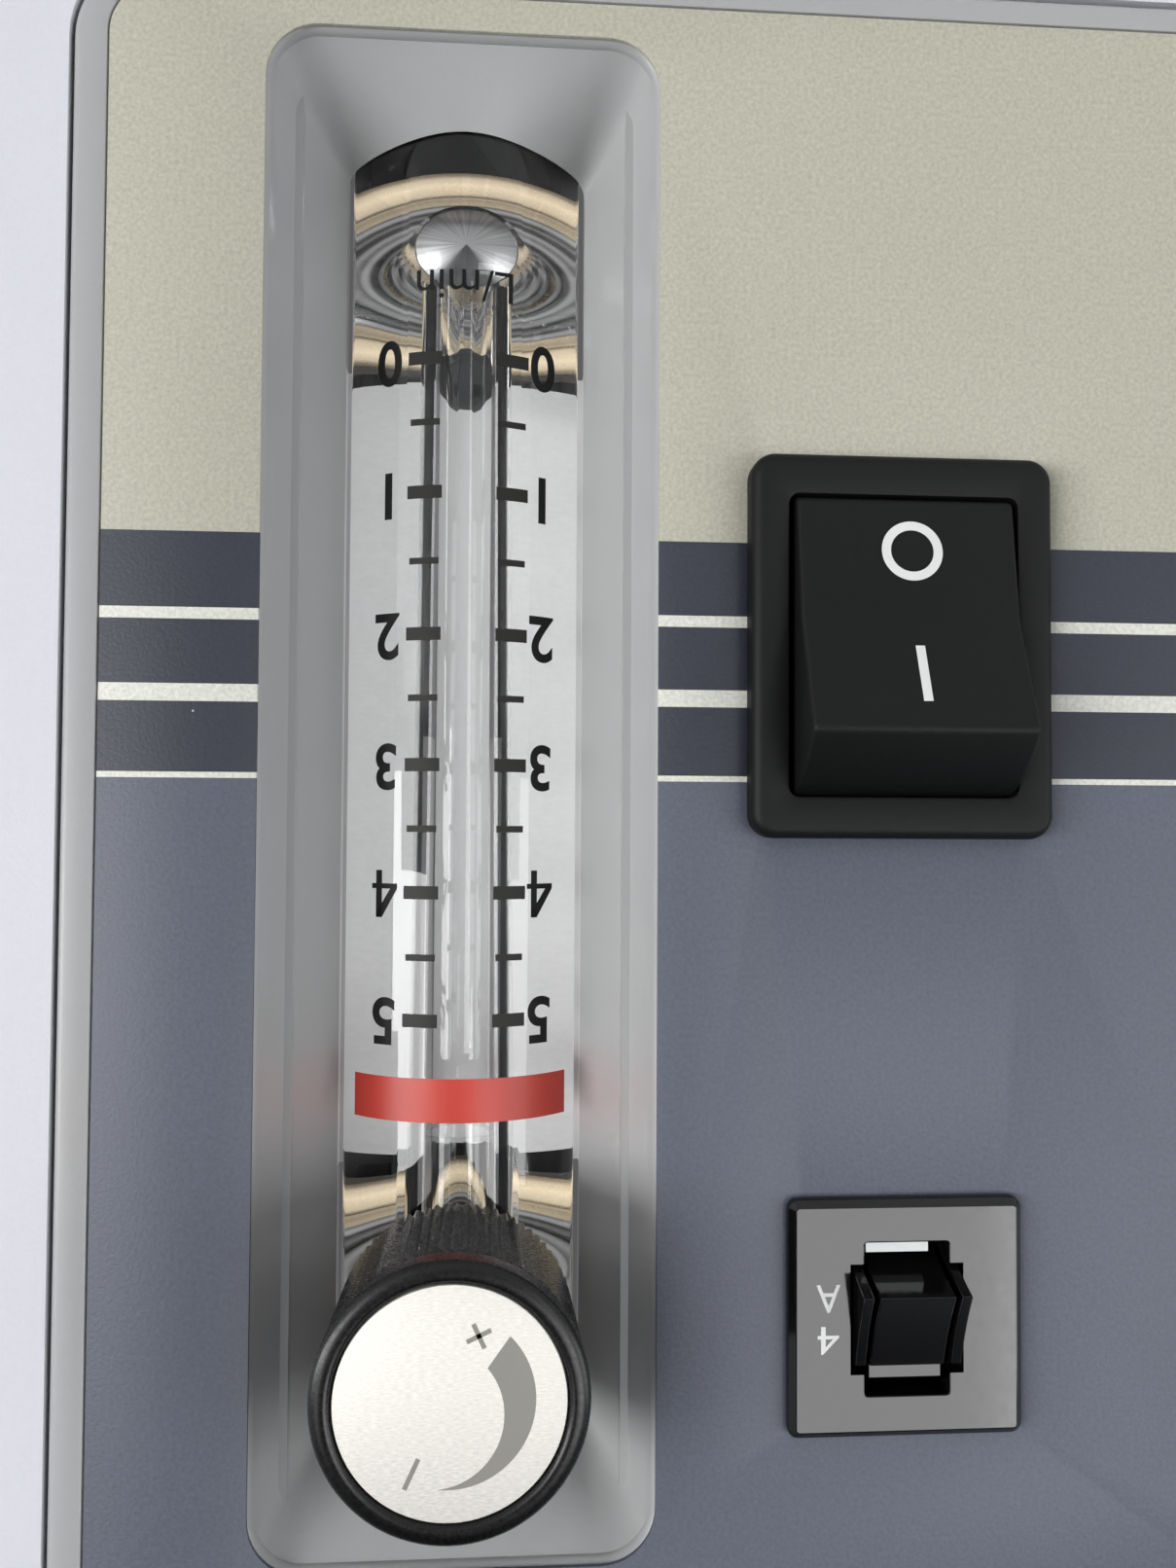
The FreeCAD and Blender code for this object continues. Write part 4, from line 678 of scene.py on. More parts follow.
materials = {
    "cabinet_white": plastic("cabinet_plastic", (226, 226, 232), 0.45, 0.03, 0.46,
                             0.015),
    "panel_grey": plastic("bezel_plastic", (178, 178, 178), 0.28, 0.010, 0.36, 0.012,
                          dust=0.02),
    "base_grey": plastic("tray_plastic", (120, 123, 128), 0.5, 0.04, 0.5, 0.03),
    "overlay_film": film_material(),
    "acrylic": acrylic_material(),
    "white_plastic": plastic("white_plastic", (226, 227, 226), 0.4, 0.01, 0.5, 0.01),
    "matte_black": plastic("matte_black_plastic", (17, 18, 17), 0.16, 0.018, 0.50, 0.12,
                           dust=0.10, Specular_IOR_Level=0.2),
    "gloss_black": plastic("gloss_black_plastic", (14, 14, 15), 0.9, 0.002, 0.09, 0.1),
    "disc_aluminium": metal("spun_aluminium", (228, 226, 220), 0.70, (0.25, 1, 1),
                            0.12),
    "steel": metal("bright_steel", (196, 194, 188), 0.22, (6, 6, 0.6)),
    "brass": metal("nickelled_brass", (205, 186, 150), 0.22, (1, 1, 5)),
    "cast_aluminium": metal("cast_aluminium", (172, 174, 176), 0.48, cell=0.8,
                            depth=0.05),
    "rubber": plastic("black_rubber", (34, 34, 35), 0.5, 0.02, 0.72, 0.08),
    "wheel_grey": plastic("wheel_tread", (92, 94, 97), 0.5, 0.02, 0.6, 0.05),
    "foam": plastic("open_foam", (44, 45, 48), 0.9, 0.7, 0.95, 0.45),
    "bed_tube": plastic("bed_tube", (206, 209, 206), 0.8, 0.01, 0.32, 0.02),
    "sound_foam": plastic("sound_board", (96, 92, 86), 2.5, 0.5, 0.9, 0.15),
    "board_green": plastic("board_green", (24, 88, 52), 0.8, 0.01, 0.34, 0.1),
    "hose_clear": plastic("hose_milky", (206, 208, 204), 2.0, 0.01, 0.24, 0.03),
    # the rest are no slots of the record: they belong to single pieces
    "backing": backing_material(),
    "bezel": bezel_material(),
    "collars": collar_material(),
    "turned_point": turned_point_material(),
    "seat_steel": seat_material(),
    "float_black": plastic("float_black", (10, 10, 11), 0.9, 0.002, 0.12, 0.1,
                           Specular_IOR_Level=0.05),
    "knob_black": plastic("knob_plastic", (17, 17, 17), 0.3, 0.004, 0.27, 0.08,
                          Specular_IOR_Level=0.35),
}


def ink(name, colour, shade, cell=0.12, rough=0.42, **shader):
    return plastic(name, colour, cell, 0.001, rough, shade, **shader)


print_black = ink("ink_black", (14, 14, 14), 0.08, Specular_IOR_Level=0.2)
print_dark = ink("ink_dark", (38, 37, 34), 0.08, Specular_IOR_Level=0.2)
print_red = ink("ink_red", (205, 60, 44), 0.03, 0.2, 0.40)
print_white = ink("ink_white", (236, 236, 234), 0.02)
print_grey = ink("ink_grey", (146, 143, 136), 0.03)

slot_of = {row["node"]: row["material_slot"] for row in frame["record"]["subparts"]}


# ---- camera --------------------------------------------------------------------------
def make_camera():
    """Looks at the panel from close by, rolled over: the machine's top is down."""
    data = bpy.data.cameras.new("panel_camera")
    data.lens = 30.37
    data.sensor_width = 36.0
    data.clip_start = 0.005
    data.clip_end = 50.0
    right = Vector((-0.99720, -0.07459, -0.00553))
    up = Vector((0.00795, -0.03229, -0.99944))
    back = right.cross(up)
    turn = Matrix((right, up, back)).transposed().to_4x4()
    made = bpy.data.objects.new("panel_camera", data)
    scene.collection.objects.link(made)
    aside, stand_off, above = 18.9, 106.8, 1.9
    spot = Vector((aside, front_y - stand_off, panel_z + above)) / 1000
    made.matrix_world = Matrix.Translation(spot) @ turn
    scene.camera = made


# ---- control panel -------------------------------------------------------------------
def arc_radius(half):
    """Radius of the convex front of a block that is this wide to either side."""
    fall = recess_depth - nose_depth
    return (half ** 2 + fall ** 2) / (2 * fall)


def arc_depth(radius, across):
    """How far a convex arc has fallen away at a distance from its crown."""
    return radius - math.sqrt(radius ** 2 - across ** 2)


def recess_loop(bm, share, start_y, foot_w, grow=0.0):
    """The recess's outline: 0 at its rim, 1 at the foot of its walls."""
    before = set(bm.edges)
    width = recess_w + (foot_w - recess_w) * share + 2 * grow
    height = recess_h - 2 * recess_end_run * share + 2 * grow
    foot_r = 1.0
    radius = recess_r - (recess_r - foot_r) * share + grow
    loop = outline(bm, (flow_x, recess_z), (width, height), radius, start_y, 14)
    ends = [e for e in loop if abs(e.verts[0].co.z - e.verts[1].co.z) < 0.001
            and abs(e.verts[0].co.x - e.verts[1].co.x) > 5]
    bmesh.ops.subdivide_edges(bm, edges=ends, cuts=24)
    loop = new_edges(bm, before)
    arc_r = arc_radius(foot_w / 2)
    crown = front_y + nose_depth + arch_lap
    for vert in {v for e in loop for v in e.verts}:
        across = (vert.co.x - flow_x) * foot_w / width
        vert.co.y += (crown + arc_depth(arc_r, across) - start_y) * share
    return loop


def bezel_moulding():
    """The grey moulding: rounded rim, pocket for the film, and the flowmeter recess."""
    bm = bmesh.new()
    middle = (0.0, panel_z)
    size = (panel_w, panel_h)
    back = front_y + 4.0
    rim = 0.6
    face = [(0.0, back), (0.0, front_y + rim)] + rounding(rim, front_y)
    back_loop, face_loop = rings(bm, middle, size, panel_r, face, 14)
    pocket_size = (film_w + 2 * film_gap, film_h + 2 * film_gap)
    floor_y = front_y + pocket_depth
    pocket = [(0.12, front_y), (0.04, front_y + 0.03), (0.0, front_y + 0.12),
              (0.0, floor_y)]
    top_loop, floor_loop = rings(bm, middle, pocket_size, film_r + film_gap, pocket, 14)
    fill(bm, [face_loop, top_loop])
    centre = (flow_x, recess_z)
    roll = 0.9
    foot_w = block_w + 2 * block_gap - 0.1
    loops = []
    for index in range(7):
        angle = math.radians(90 * index / 6)
        rim_y = floor_y + roll * (1 - math.cos(angle))
        loops.append(recess_loop(bm, 0.0, rim_y, foot_w, roll * (1 - math.sin(angle))))
    fill(bm, [floor_loop, loops[0]])
    steps = 10
    for index in range(1, steps + 1):
        loops.append(recess_loop(bm, index / steps, floor_y + roll, foot_w))
    shaft_y = front_y + 12.5
    loops.append(outline(bm, centre, (foot_w, recess_h - 2 * recess_end_run), 1.0,
                         shaft_y, 14))
    bridge(bm, loops)
    close(bm, loops[-1])
    shell_y = front_y + 14.0
    shell_wall = 3.0
    shell_size = (block_w + 2 * block_gap + 2 * shell_wall, recess_h + 2 * shell_wall)
    near, far = rings(bm, centre, shell_size, 3.0, [(0, back), (0, shell_y)], 4)
    close(bm, far)
    fill(bm, [back_loop, near])
    made = piece(bm, "bezel_moulding", materials["bezel"], crease=28)
    carve(made, recess_cutter(block_gap, shell_y - ledge), 28)
    carve(made, recess_cutter(ledge_gap, block_high.y + 1), 28)
    for centre, size in (((switch_x, switch_z), switch_hole),
                         ((breaker_x, breaker_z), breaker_hole)):
        bm = bmesh.new()
        through = [(0, front_y - 2), (0, front_y + 9)]
        close(bm, *rings(bm, centre, size, 1.0, through, 4))
        carve(made, piece(bm, "hole"), 28)
    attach(made, "cabinet")
    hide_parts("panel_bezel")


def block_form(bm, grow, low, high, back, steps=40):
    """The acrylic block's outer form: a convex front, flat sides and back."""
    half = block_w / 2 + grow
    arc_r = arc_radius(block_w / 2)
    nose = front_y + nose_depth - min(grow, arch_gap)
    half_angle = math.asin(half / arc_r)
    edge_y = nose + arc_depth(arc_r, half)
    foot = vert_at(bm, flow_x - half, edge_y, low)
    head = vert_at(bm, flow_x - half, edge_y, high)
    edge = bm.edges.new((foot, head))
    bmesh.ops.spin(bm, geom=[foot, head, edge], cent=(flow_x, nose + arc_r, 0),
                   axis=(0, 0, 1), angle=2 * half_angle, steps=steps,
                   use_merge=False, use_normal_flip=False, use_duplicate=False)
    rim = [e for e in bm.edges if e.is_boundary]
    for vert in new_verts(bmesh.ops.extrude_edge_only(bm, edges=rim)):
        vert.co.y = back
    cap(bm)


def cap(bm):
    """Closes what is open."""
    rim = [e for e in bm.edges if e.is_boundary]
    bmesh.ops.holes_fill(bm, edges=rim, sides=0)


def recess_cutter(grow, back):
    """The room that the block takes in the moulding, down to a depth."""
    bm = bmesh.new()
    block_form(bm, grow, block_low.z - grow, block_high.z + grow, back)
    return piece(bm, "block_room")


def overlay_sheet():
    """The printed film: openings for the recess, the switch and the breaker."""
    bm = bmesh.new()
    lip = 0.35
    recess = (recess_w + 2 * lip, recess_h + 2 * lip)
    edge = 0.07
    loops = []
    for centre, size, radius, grow, steps in (
            ((0.0, panel_z), (film_w, film_h), film_r, -edge, 14),
            ((flow_x, recess_z), recess, recess_r + lip, edge, 10),
            ((switch_x, switch_z), switch_hole, 1.0, edge, 10),
            ((breaker_x, breaker_z), breaker_hole, 0.6, edge, 10)):
        stations = [(grow, film_y), (grow * 0.3, film_y + edge * 0.3),
                    (0.0, film_y + edge), (0.0, film_high.y)]
        loops.append(rings(bm, centre, size, radius, stations, steps))
    for side in zip(*loops):
        fill(bm, side)
    piece(bm, "overlay_sheet", materials["overlay_film"], "cabinet",
          ["panel_overlay"])


# ---- flowmeter -----------------------------------------------------------------------
def nose_y(x):
    """Where the block's convex front is at x."""
    return front_y + nose_depth + arc_depth(arc_radius(block_w / 2), x - flow_x)


def acrylic_block():
    """The clear block: float bore, threaded rear ports, valve bore."""
    bm = bmesh.new()
    block_form(bm, 0, block_low.z, block_high.z, block_high.y, 48)
    soften(bm, sharp_edges(bm, 20), 0.22)
    made = piece(bm, "acrylic_block", materials["acrylic"], crease=40)
    back = block_high.y
    top = block_high.z + 1
    bore = [(0, inlet_z), (bore_low_r, inlet_z), (bore_high_r, knob_z),
            (bore_high_r, top), (0, top)]
    depth = bore_low_r - bore_depth
    inlet = [(0, depth + port_r * port_point), (port_r, depth)]
    while depth > front_y - back + thread_pitch:
        inlet.append((port_r, depth - thread_pitch * 0.25))
        inlet.append((port_r + thread_depth, depth - thread_pitch * 0.5))
        inlet.append((port_r, depth - thread_pitch * 0.75))
        depth -= thread_pitch
    inlet += [(port_r, front_y - back - 1), (0, front_y - back - 1)]
    outlet = [(0, back + 1), (port_r, back + 1), (port_r, back - stub_room),
              (0, back - stub_room)]
    bushing_r = 5.05
    needle_r = 1.2
    seat_y = front_y + seat_depth
    valve = [(0, front_y), (bushing_r, front_y), (bushing_r, seat_y),
             (needle_r, seat_y), (needle_r, back - 4), (0, back - 4)]
    for profile, centre, axis in (
            (bore, (flow_x, front_y + bore_depth, 0), (0, 0, 1)),
            (inlet, (flow_x, front_y, inlet_z), (0, -1, 0)),
            (outlet, (flow_x, 0, knob_z), (0, 1, 0)),
            (valve, (flow_x, 0, knob_z), (0, 1, 0))):
        bm = bmesh.new()
        turned(bm, profile, centre, axis, 64)
        carve(made, piece(bm, "cavity"), 40)
    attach(made, "cabinet")
    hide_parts("flow_block")


def split_at(bm, point, normal, drop_outer=False):
    everything = bm.verts[:] + bm.edges[:] + bm.faces[:]
    bmesh.ops.bisect_plane(bm, geom=everything, dist=0.0001, plane_co=point,
                           plane_no=normal, clear_outer=drop_outer)


def print_on_nose(bm, name, paint):
    """Bends flat marks on to the block's convex front and ends them as a piece."""
    low = min(v.co.x for v in bm.verts)
    high = max(v.co.x for v in bm.verts)
    step = 0.5
    x = low + step
    while x < high:
        split_at(bm, (x, 0, 0), (1, 0, 0))
        x += step
    clear = 0.004
    for vert in bm.verts:
        vert.co.y += nose_y(vert.co.x) - (INK + clear)
    piece(bm, name, paint, "cabinet")


def bar(bm, x0, x1, z0, z1, y=0, thick=INK):
    """A thin upright plate for a printed mark, its face at y."""
    middle = ((x0 + x1) / 2, (z0 + z1) / 2)
    place = (place_on_front(middle, y + thick / 2, x1 - x0, z1 - z0)
             @ Matrix.Diagonal((1, 1, thick, 1)))
    bmesh.ops.create_cube(bm, size=1.0, matrix=place)


def lettering(bm, text, height, centre, y, width, weight):
    """Adds a word as thin solid marks that face -Y, sized by its height."""
    data = bpy.data.curves.new("word", "FONT")
    data.body = text
    data.offset = weight
    data.extrude = 0.5
    data.resolution_u = 6
    made = bpy.data.objects.new("word", data)
    scene.collection.objects.link(made)
    mesh = evaluated_mesh(made)
    low = Vector([min(v.co[k] for v in mesh.vertices) for k in range(3)])
    high = Vector([max(v.co[k] for v in mesh.vertices) for k in range(3)])
    middle = (low + high) / 2
    scale = height / (high.y - low.y)
    mesh.transform(Matrix.Translation((centre[0], y + INK / 2, centre[1])) @ FACE_FRONT
                   @ Matrix.Diagonal((scale * width, scale, INK, 1))
                   @ Matrix.Translation(-middle))
    bm.from_mesh(mesh)
    bpy.data.objects.remove(made)
    bpy.data.meshes.remove(mesh)


# the scale's marks, above the panel's middle
SCALE_MARKS = (-37.94, -32.44, -26.46, -20.58, -14.39, -8.96, -3.31, 2.09, 7.46, 12.9,
               18.17)


def push_out(bm, faces, way):
    """Makes faces a slab."""
    made = bmesh.ops.extrude_face_region(bm, geom=faces)
    bmesh.ops.translate(bm, vec=way, verts=new_verts(made))


def slab(bm, ring, way):
    """A slab from a ring of verts."""
    push_out(bm, bmesh.ops.contextual_create(bm, geom=joined(bm, ring))["faces"], way)


def open_four(bm, x, z):
    """The figure 4 from strokes, so that its middle stays open."""
    bar(bm, x + 0.22, x + 0.74, z - 2.0, z + 2.0)
    bar(bm, x - 1.1, x + 1.1, z - 0.88, z - 0.44)
    slant = [(-1.1, -0.45), (-0.5, -0.45), (0.74, 1.65), (0.74, 2.0), (0.22, 2.0)]
    slab(bm, [bm.verts.new((x + dx, 0, z + dz)) for dx, dz in slant], (0, INK, 0))


def flow_scale():
    """Ticks, numerals and the unit on the block's front."""
    bm = bmesh.new()
    for index, dz in enumerate(SCALE_MARKS):
        z = panel_z + dz
        half, inset = (0.28, 0.22) if index % 2 else (0.56, 0.0)
        for x0, x1 in ((1.8, 4.75), (-5.5, -2.8)):
            bar(bm, flow_x + x0 + inset, flow_x + x1 - inset, z - half, z + half)
    bmesh.ops.triangulate(bm, faces=bm.faces)
    print_on_nose(bm, "flow_ticks", print_dark)
    bm = bmesh.new()
    for number, dz in enumerate(SCALE_MARKS[::2]):
        for dx in (6.4, -6.75):
            spot = (flow_x + dx, panel_z + dz + 0.15)
            if number == 4:
                open_four(bm, *spot)
            else:
                lettering(bm, str(number), 4.0, spot, 0, width=0.82, weight=0.022)
    lettering(bm, "L/min", 2.7, (flow_x, panel_z - 44.2), 0, width=1.0, weight=0)
    bmesh.ops.triangulate(bm, faces=bm.faces)
    print_on_nose(bm, "flow_numerals", print_black)
    bm = bmesh.new()
    bar(bm, flow_x - 9.1, flow_x + 8.9, panel_z + 22.95, panel_z + 26.6)
    print_on_nose(bm, "limit_band", print_red)


def float_and_bore():
    """The float, and thin clear rings where the solids have disc-shaped stops."""
    bm = bmesh.new()
    bmesh.ops.create_uvsphere(bm, u_segments=64, v_segments=32,
                              radius=(float_high.z - float_low.z) / 2,
                              matrix=Matrix.Translation((float_low + float_high) / 2))
    piece(bm, "float_sphere", materials["float_black"], "float",
          ["float_ball"])
    bm = bmesh.new()
    taper = (bore_high_r - bore_low_r) / (knob_z - inlet_z)
    low, high = node_box("float_stops")
    tall = 0.35
    for z in (low.z + 0.2, high.z - 0.7):
        r = bore_low_r + taper * (z - inlet_z) - 0.02
        turned(bm, [(r - 0.15, 0), (r, 0), (r, tall), (r - 0.1, tall)],
               (flow_x, front_y + bore_depth, z), (0, 0, 1))
    piece(bm, "float_rings", materials["acrylic"], "cabinet",
          ["float_stops"])


def backing_film():
    """The white print on the block's back, in optical contact with the acrylic."""
    bm = bmesh.new()
    low, high = node_box("backing_plate")
    inset = 0.05
    bar(bm, flow_x - block_w / 2 + inset, flow_x + block_w / 2 - inset, low.z, high.z,
        block_high.y - inset, 0.04)
    # Its material glows for rays through the acrylic: painted light.
    piece(bm, "backing_film", materials["backing"], "cabinet")


def port_details():
    """The inlet port's turned drill point, and the ripples of its seal's seat."""
    bm = bmesh.new()
    tip = front_y + bore_depth - bore_low_r
    radius = port_r - 0.06
    point = tip - radius * port_point
    front, back = 0.05, 0.15
    profile = [(0, point + front), (radius, tip + front), (radius, tip + back),
               (0, point + back)]
    turned(bm, profile, (flow_x, 0, inlet_z), (0, 1, 0))
    piece(bm, "drill_point", materials["turned_point"], "cabinet", crease=20)
    bm = bmesh.new()
    for z in (inlet_z, knob_z):
        profile = [(port_r + 0.25, 0.3)]
        for index in range(18):
            profile.append((port_r + 0.3 + 0.15 * index, 0.12 if index % 2 else 0.03))
        profile.append((profile[-1][0], 0.3))
        turned(bm, profile, (flow_x, block_high.y, z), (0, 1, 0))
    piece(bm, "seal_ripples", materials["seat_steel"], "cabinet", crease=60)


# ---- knob ----------------------------------------------------------------------------
def knob_point(dx, y, dz):
    return (flow_x + dx, y, knob_z + dz)


def knob_grip():
    """Fine-ribbed skirt that widens to a smooth bevelled ring."""
    bm = bmesh.new()
    ribs = 72
    per_rib = 6
    base_y = knob_high.y
    ring_y = disc_low.y + 2.4
    rim_y = knob_low.y
    loops = []
    # a radius, how deep its ribs are, and its y
    stations = [(9.45, 0.30, base_y), (9.6, 0.35, base_y - 0.3),
                (9.95, 0.35, ring_y + 0.25), (10.0, 0.22, ring_y + 0.08)]
    stations += [(radius, 0.0, ring_y - rise) for radius, rise in
                 ((9.9, 0), (9.75, 0.12), (9.8, 0.3), (10.0, 0.45))]
    stations += [(radius, 0.0, rim_y + fall) for radius, fall in
                 ((10.0, 0.62), (9.96, 0.42), (9.85, 0.25), (9.65, 0.12), (9.3, 0.03),
                  (8.95, 0), (8.7, 0.03), (8.55, 0.12), (8.45, 0.28), (8.4, 0.5),
                  (8.4, 0.7))]
    for radius, depth, y in stations:
        place = Matrix.Translation(knob_point(0, y, 0)) @ FACE_FRONT
        made = bmesh.ops.create_circle(bm, segments=ribs * per_rib, radius=radius,
                                       matrix=place)["verts"]
        for index, vert in enumerate(made):
            phase = 2 * math.pi * index / per_rib
            pull = 1 - depth * (0.5 - 0.5 * math.cos(phase)) / radius
            vert.co.x = flow_x + (vert.co.x - flow_x) * pull
            vert.co.z = knob_z + (vert.co.z - knob_z) * pull
        ring = set(made)
        loops.append([e for e in bm.edges if e.verts[0] in ring and e.verts[1] in ring])
    bridge(bm, loops)
    close(bm, loops[0], loops[-1])
    piece(bm, "knob_grip", materials["knob_black"], "knob", ["knob"],
          crease=35)


def knob_face():
    bm = bmesh.new()
    radius = (disc_high.x - disc_low.x) / 2
    face = disc_low.y
    profile = [(0, face), (radius - 0.12, face), (radius - 0.03, face + 0.04),
               (radius, face + 0.12), (radius, disc_high.y), (0, disc_high.y)]
    turned(bm, profile, knob_point(0, 0, 0), (0, 1, 0), 128)
    piece(bm, "knob_face", materials["disc_aluminium"], "knob",
          ["knob_disc"])


def arc_through(first, second, third, count):
    """Points along the circle through three points, from the first to the third."""
    a, b, c = (Vector(point) for point in (first, second, third))
    d = 2 * (a.x * (b.y - c.y) + b.x * (c.y - a.y) + c.x * (a.y - b.y))
    ux = (a.length_squared * (b.y - c.y) + b.length_squared * (c.y - a.y)
          + c.length_squared * (a.y - b.y)) / d
    uy = (a.length_squared * (c.x - b.x) + b.length_squared * (a.x - c.x)
          + c.length_squared * (b.x - a.x)) / d
    centre = Vector((ux, uy))
    radius = (a - centre).length
    full = 2 * math.pi
    start, middle, end = (math.atan2(point.y - uy, point.x - ux) for point in (a, b, c))
    middle = (middle - start) % full
    end = (end - start) % full
    if middle > end:
        end -= full
    return [centre + radius * Vector((math.cos(start + end * k / count),
                                      math.sin(start + end * k / count)))
            for k in range(count + 1)]


def knob_marks():
    """Plus, minus and the crescent that widens towards plus."""
    bm = bmesh.new()
    y = disc_low.y - INK
    lean = math.radians(-25)
    for dx, dz, length, roll in ((-1.98, -4.67, 1.9, lean),
                                 (-1.98, -4.67, 1.9, lean + math.pi / 2),
                                 (2.69, 4.80, 2.3, -lean - math.pi / 2)):
        place = (Matrix.Translation(knob_point(dx, y + INK / 2, dz))
                 @ Matrix.Rotation(roll, 4, "Y")
                 @ Matrix.Diagonal((length, INK, 0.34, 1)))
        bmesh.ops.create_cube(bm, size=1.0, matrix=place)
    thin = (0.84, 5.93)
    outer, inner = ([vert_at(bm, *knob_point(point.x, y, point.y))
                     for point in arc_through(thin, bend, thick, 32)]
                    for bend, thick in (((-6.05, -0.6), (-4.2, -4.62)),
                                        ((-3.6, -0.6), (-2.6, -2.42))))
    faces = []
    for quad in zip(outer, outer[1:], inner[1:], inner):
        faces += bmesh.ops.contextual_create(bm, geom=list(quad))["faces"]
    bmesh.ops.remove_doubles(bm, verts=outer[:1] + inner[:1], dist=0.001)
    faces = [face for face in faces if face.is_valid]
    push_out(bm, faces, (0, INK, 0))
    piece(bm, "knob_marks", print_grey, "knob")


# ---- rocker switch -------------------------------------------------------------------
def housing(centre, frame, mouth, box):
    """A frame with a hollow mouth and a closed box behind; each as rings() takes it."""
    bm = bmesh.new()
    back_loop, face_loop = rings(bm, centre, *frame)
    lip_loop, floor_loop = rings(bm, centre, *mouth)
    fill(bm, [face_loop, lip_loop])
    close(bm, floor_loop)
    near, far = rings(bm, centre, *box)
    fill(bm, [back_loop, near])
    close(bm, far)
    return bm


def switch_frame():
    face = frame_low.y
    edge = 0.9
    outer = [(0.0, film_y), (0.0, face + edge)] + rounding(edge, face)
    inner = [(0.25, face), (0.07, face + 0.08), (0.0, face + 0.3),
             (0.0, front_y + 11.0)]
    size = (frame_high.x - frame_low.x, frame_high.z - frame_low.z)
    bm = housing((switch_x, switch_z), (size, 2.0, outer, 10),
                 ((18.9, 24.5), 0.8, inner, 6),
                 ((22.0, 28.8), 0.8, [(0, film_y), (0, frame_high.y)], 6))
    piece(bm, "switch_frame", materials["matte_black"], "cabinet",
          ["switch_body"])


rocker_r = 12.7
rocker_w = 17.9
rocker_edge = 8.0
rocker_dip = 1.3
rocker_tilt = math.radians(16.5)
switch_pivot = Vector((switch_x, front_y + 2.3, switch_z))
rocker_slope = math.atan(rocker_dip / math.sqrt(rocker_r ** 2 - rocker_edge ** 2))
rocker_crease = switch_pivot + Vector((0, -(rocker_edge - rocker_dip), 0))


def tilt(bm, pivot, angle):
    place = (Matrix.Translation(pivot) @ Matrix.Rotation(angle, 4, "X")
             @ Matrix.Translation(-pivot))
    bmesh.ops.transform(bm, matrix=place, verts=bm.verts)


def slice_off(bm, point, normal):
    """Drops what is beyond a plane and closes the cut."""
    split_at(bm, point, normal, True)
    cap(bm)


def drum(bm, pivot, radius, width, steps=128):
    place = Matrix.Translation(pivot) @ Matrix.Rotation(math.radians(90), 4, "Y")
    bmesh.ops.create_cone(bm, cap_ends=True, segments=steps, radius1=radius,
                          radius2=radius, depth=width, matrix=place)


def switch_paddle():
    """A drum with two gently dished faces, tilted to the pressed side."""
    halves = []
    for side in (1, -1):
        bm = bmesh.new()
        drum(bm, switch_pivot, rocker_r, rocker_w)
        normal = Vector((0, -math.cos(rocker_slope), -side * math.sin(rocker_slope)))
        slice_off(bm, rocker_crease, normal)
        slice_off(bm, switch_pivot, Vector((0, 0, -side)))
        slice_off(bm, switch_pivot + Vector((0, 4, 0)), Vector((0, 1, 0)))
        halves.append(bm)
    bm = halves[0]
    take_over(bm, halves[1])
    seam = [f for f in bm.faces if abs(f.normal.z) > 0.999
            and abs(f.calc_center_median().z - switch_pivot.z) < 0.01]
    bmesh.ops.delete(bm, geom=seam, context="FACES_ONLY")
    bmesh.ops.remove_doubles(bm, verts=bm.verts, dist=0.001)
    bmesh.ops.recalc_face_normals(bm, faces=bm.faces)
    soften(bm, [e for e in sharp_edges(bm, 25)
                if max(v.co.y for v in e.verts) < switch_pivot.y - 2], 0.38, 4)
    tilt(bm, switch_pivot, rocker_tilt)
    piece(bm, "switch_paddle", materials["matte_black"], "switch_rocker",
          ["switch_rocker"], crease=24)


def on_paddle(bm, side):
    """Turns marks drawn flat at the paddle's crease on to its upper or lower face."""
    tilt(bm, rocker_crease, side * rocker_slope)
    tilt(bm, switch_pivot, rocker_tilt)


def switch_marks():
    """The ring on the paddle's lower face and the bar on its upper one."""
    face_y = switch_pivot.y - (rocker_edge - rocker_dip) - INK
    x = switch_x - 0.3
    ring = bmesh.new()
    turned(ring, [(1.75, 0), (2.5, 0), (2.5, INK), (1.75, INK)],
           (x, face_y, switch_z - 5.7), (0, 1, 0))
    on_paddle(ring, -1)
    bm = bmesh.new()
    bar(bm, x - 0.375, x + 0.375, switch_z + 2.5, switch_z + 7.5, face_y)
    on_paddle(bm, 1)
    take_over(bm, ring)
    piece(bm, "switch_marks", print_white, "switch_rocker")


# ---- circuit breaker -----------------------------------------------------------------
slot_w = 7.0
slot_h = 12.2
toggle_w = 6.1
toggle_crest = (0.0, 7.75)
toggle_edge = (4.93, 2.5)
toggle_foot = (5.89, 1.5)
toggle_tilt = math.radians(20.4)
toggle_hollow = 0.25
ear_t = 0.85
ear_end = (4.87, 3.04)
toggle_pivot = Vector((breaker_x, front_y + 3.0, breaker_z))


def breaker_plate():
    """The breaker's body, with room for the toggle's fins."""
    face = plate_low.y
    outer = [(0.0, film_y), (0.0, face + 0.6), (-0.08, face + 0.48),
             (-0.55, face + 0.03), (-0.65, face)]
    inner = [(0.10, face), (0.03, face + 0.03), (0.0, face + 0.1), (0.0, front_y + 9.8)]
    size = (plate_high.x - plate_low.x, plate_high.z - plate_low.z)
    bm = housing((breaker_x, breaker_z), (size, 0.9, outer, 6),
                 ((slot_w, slot_h), 0.3, inner, 4),
                 ((16.4, 16.8), 0.4, [(0, film_y), (0, plate_high.y)], 4))
    made = piece(bm, "breaker_plate", materials["gloss_black"], "cabinet",
                 ["breaker_body"], crease=9)
    bm = bmesh.new()
    drum(bm, toggle_pivot, math.hypot(*ear_end) + 0.3, slot_w + 2 * ear_t + 0.6)
    carve(made, piece(bm, "ear_room"), 9)


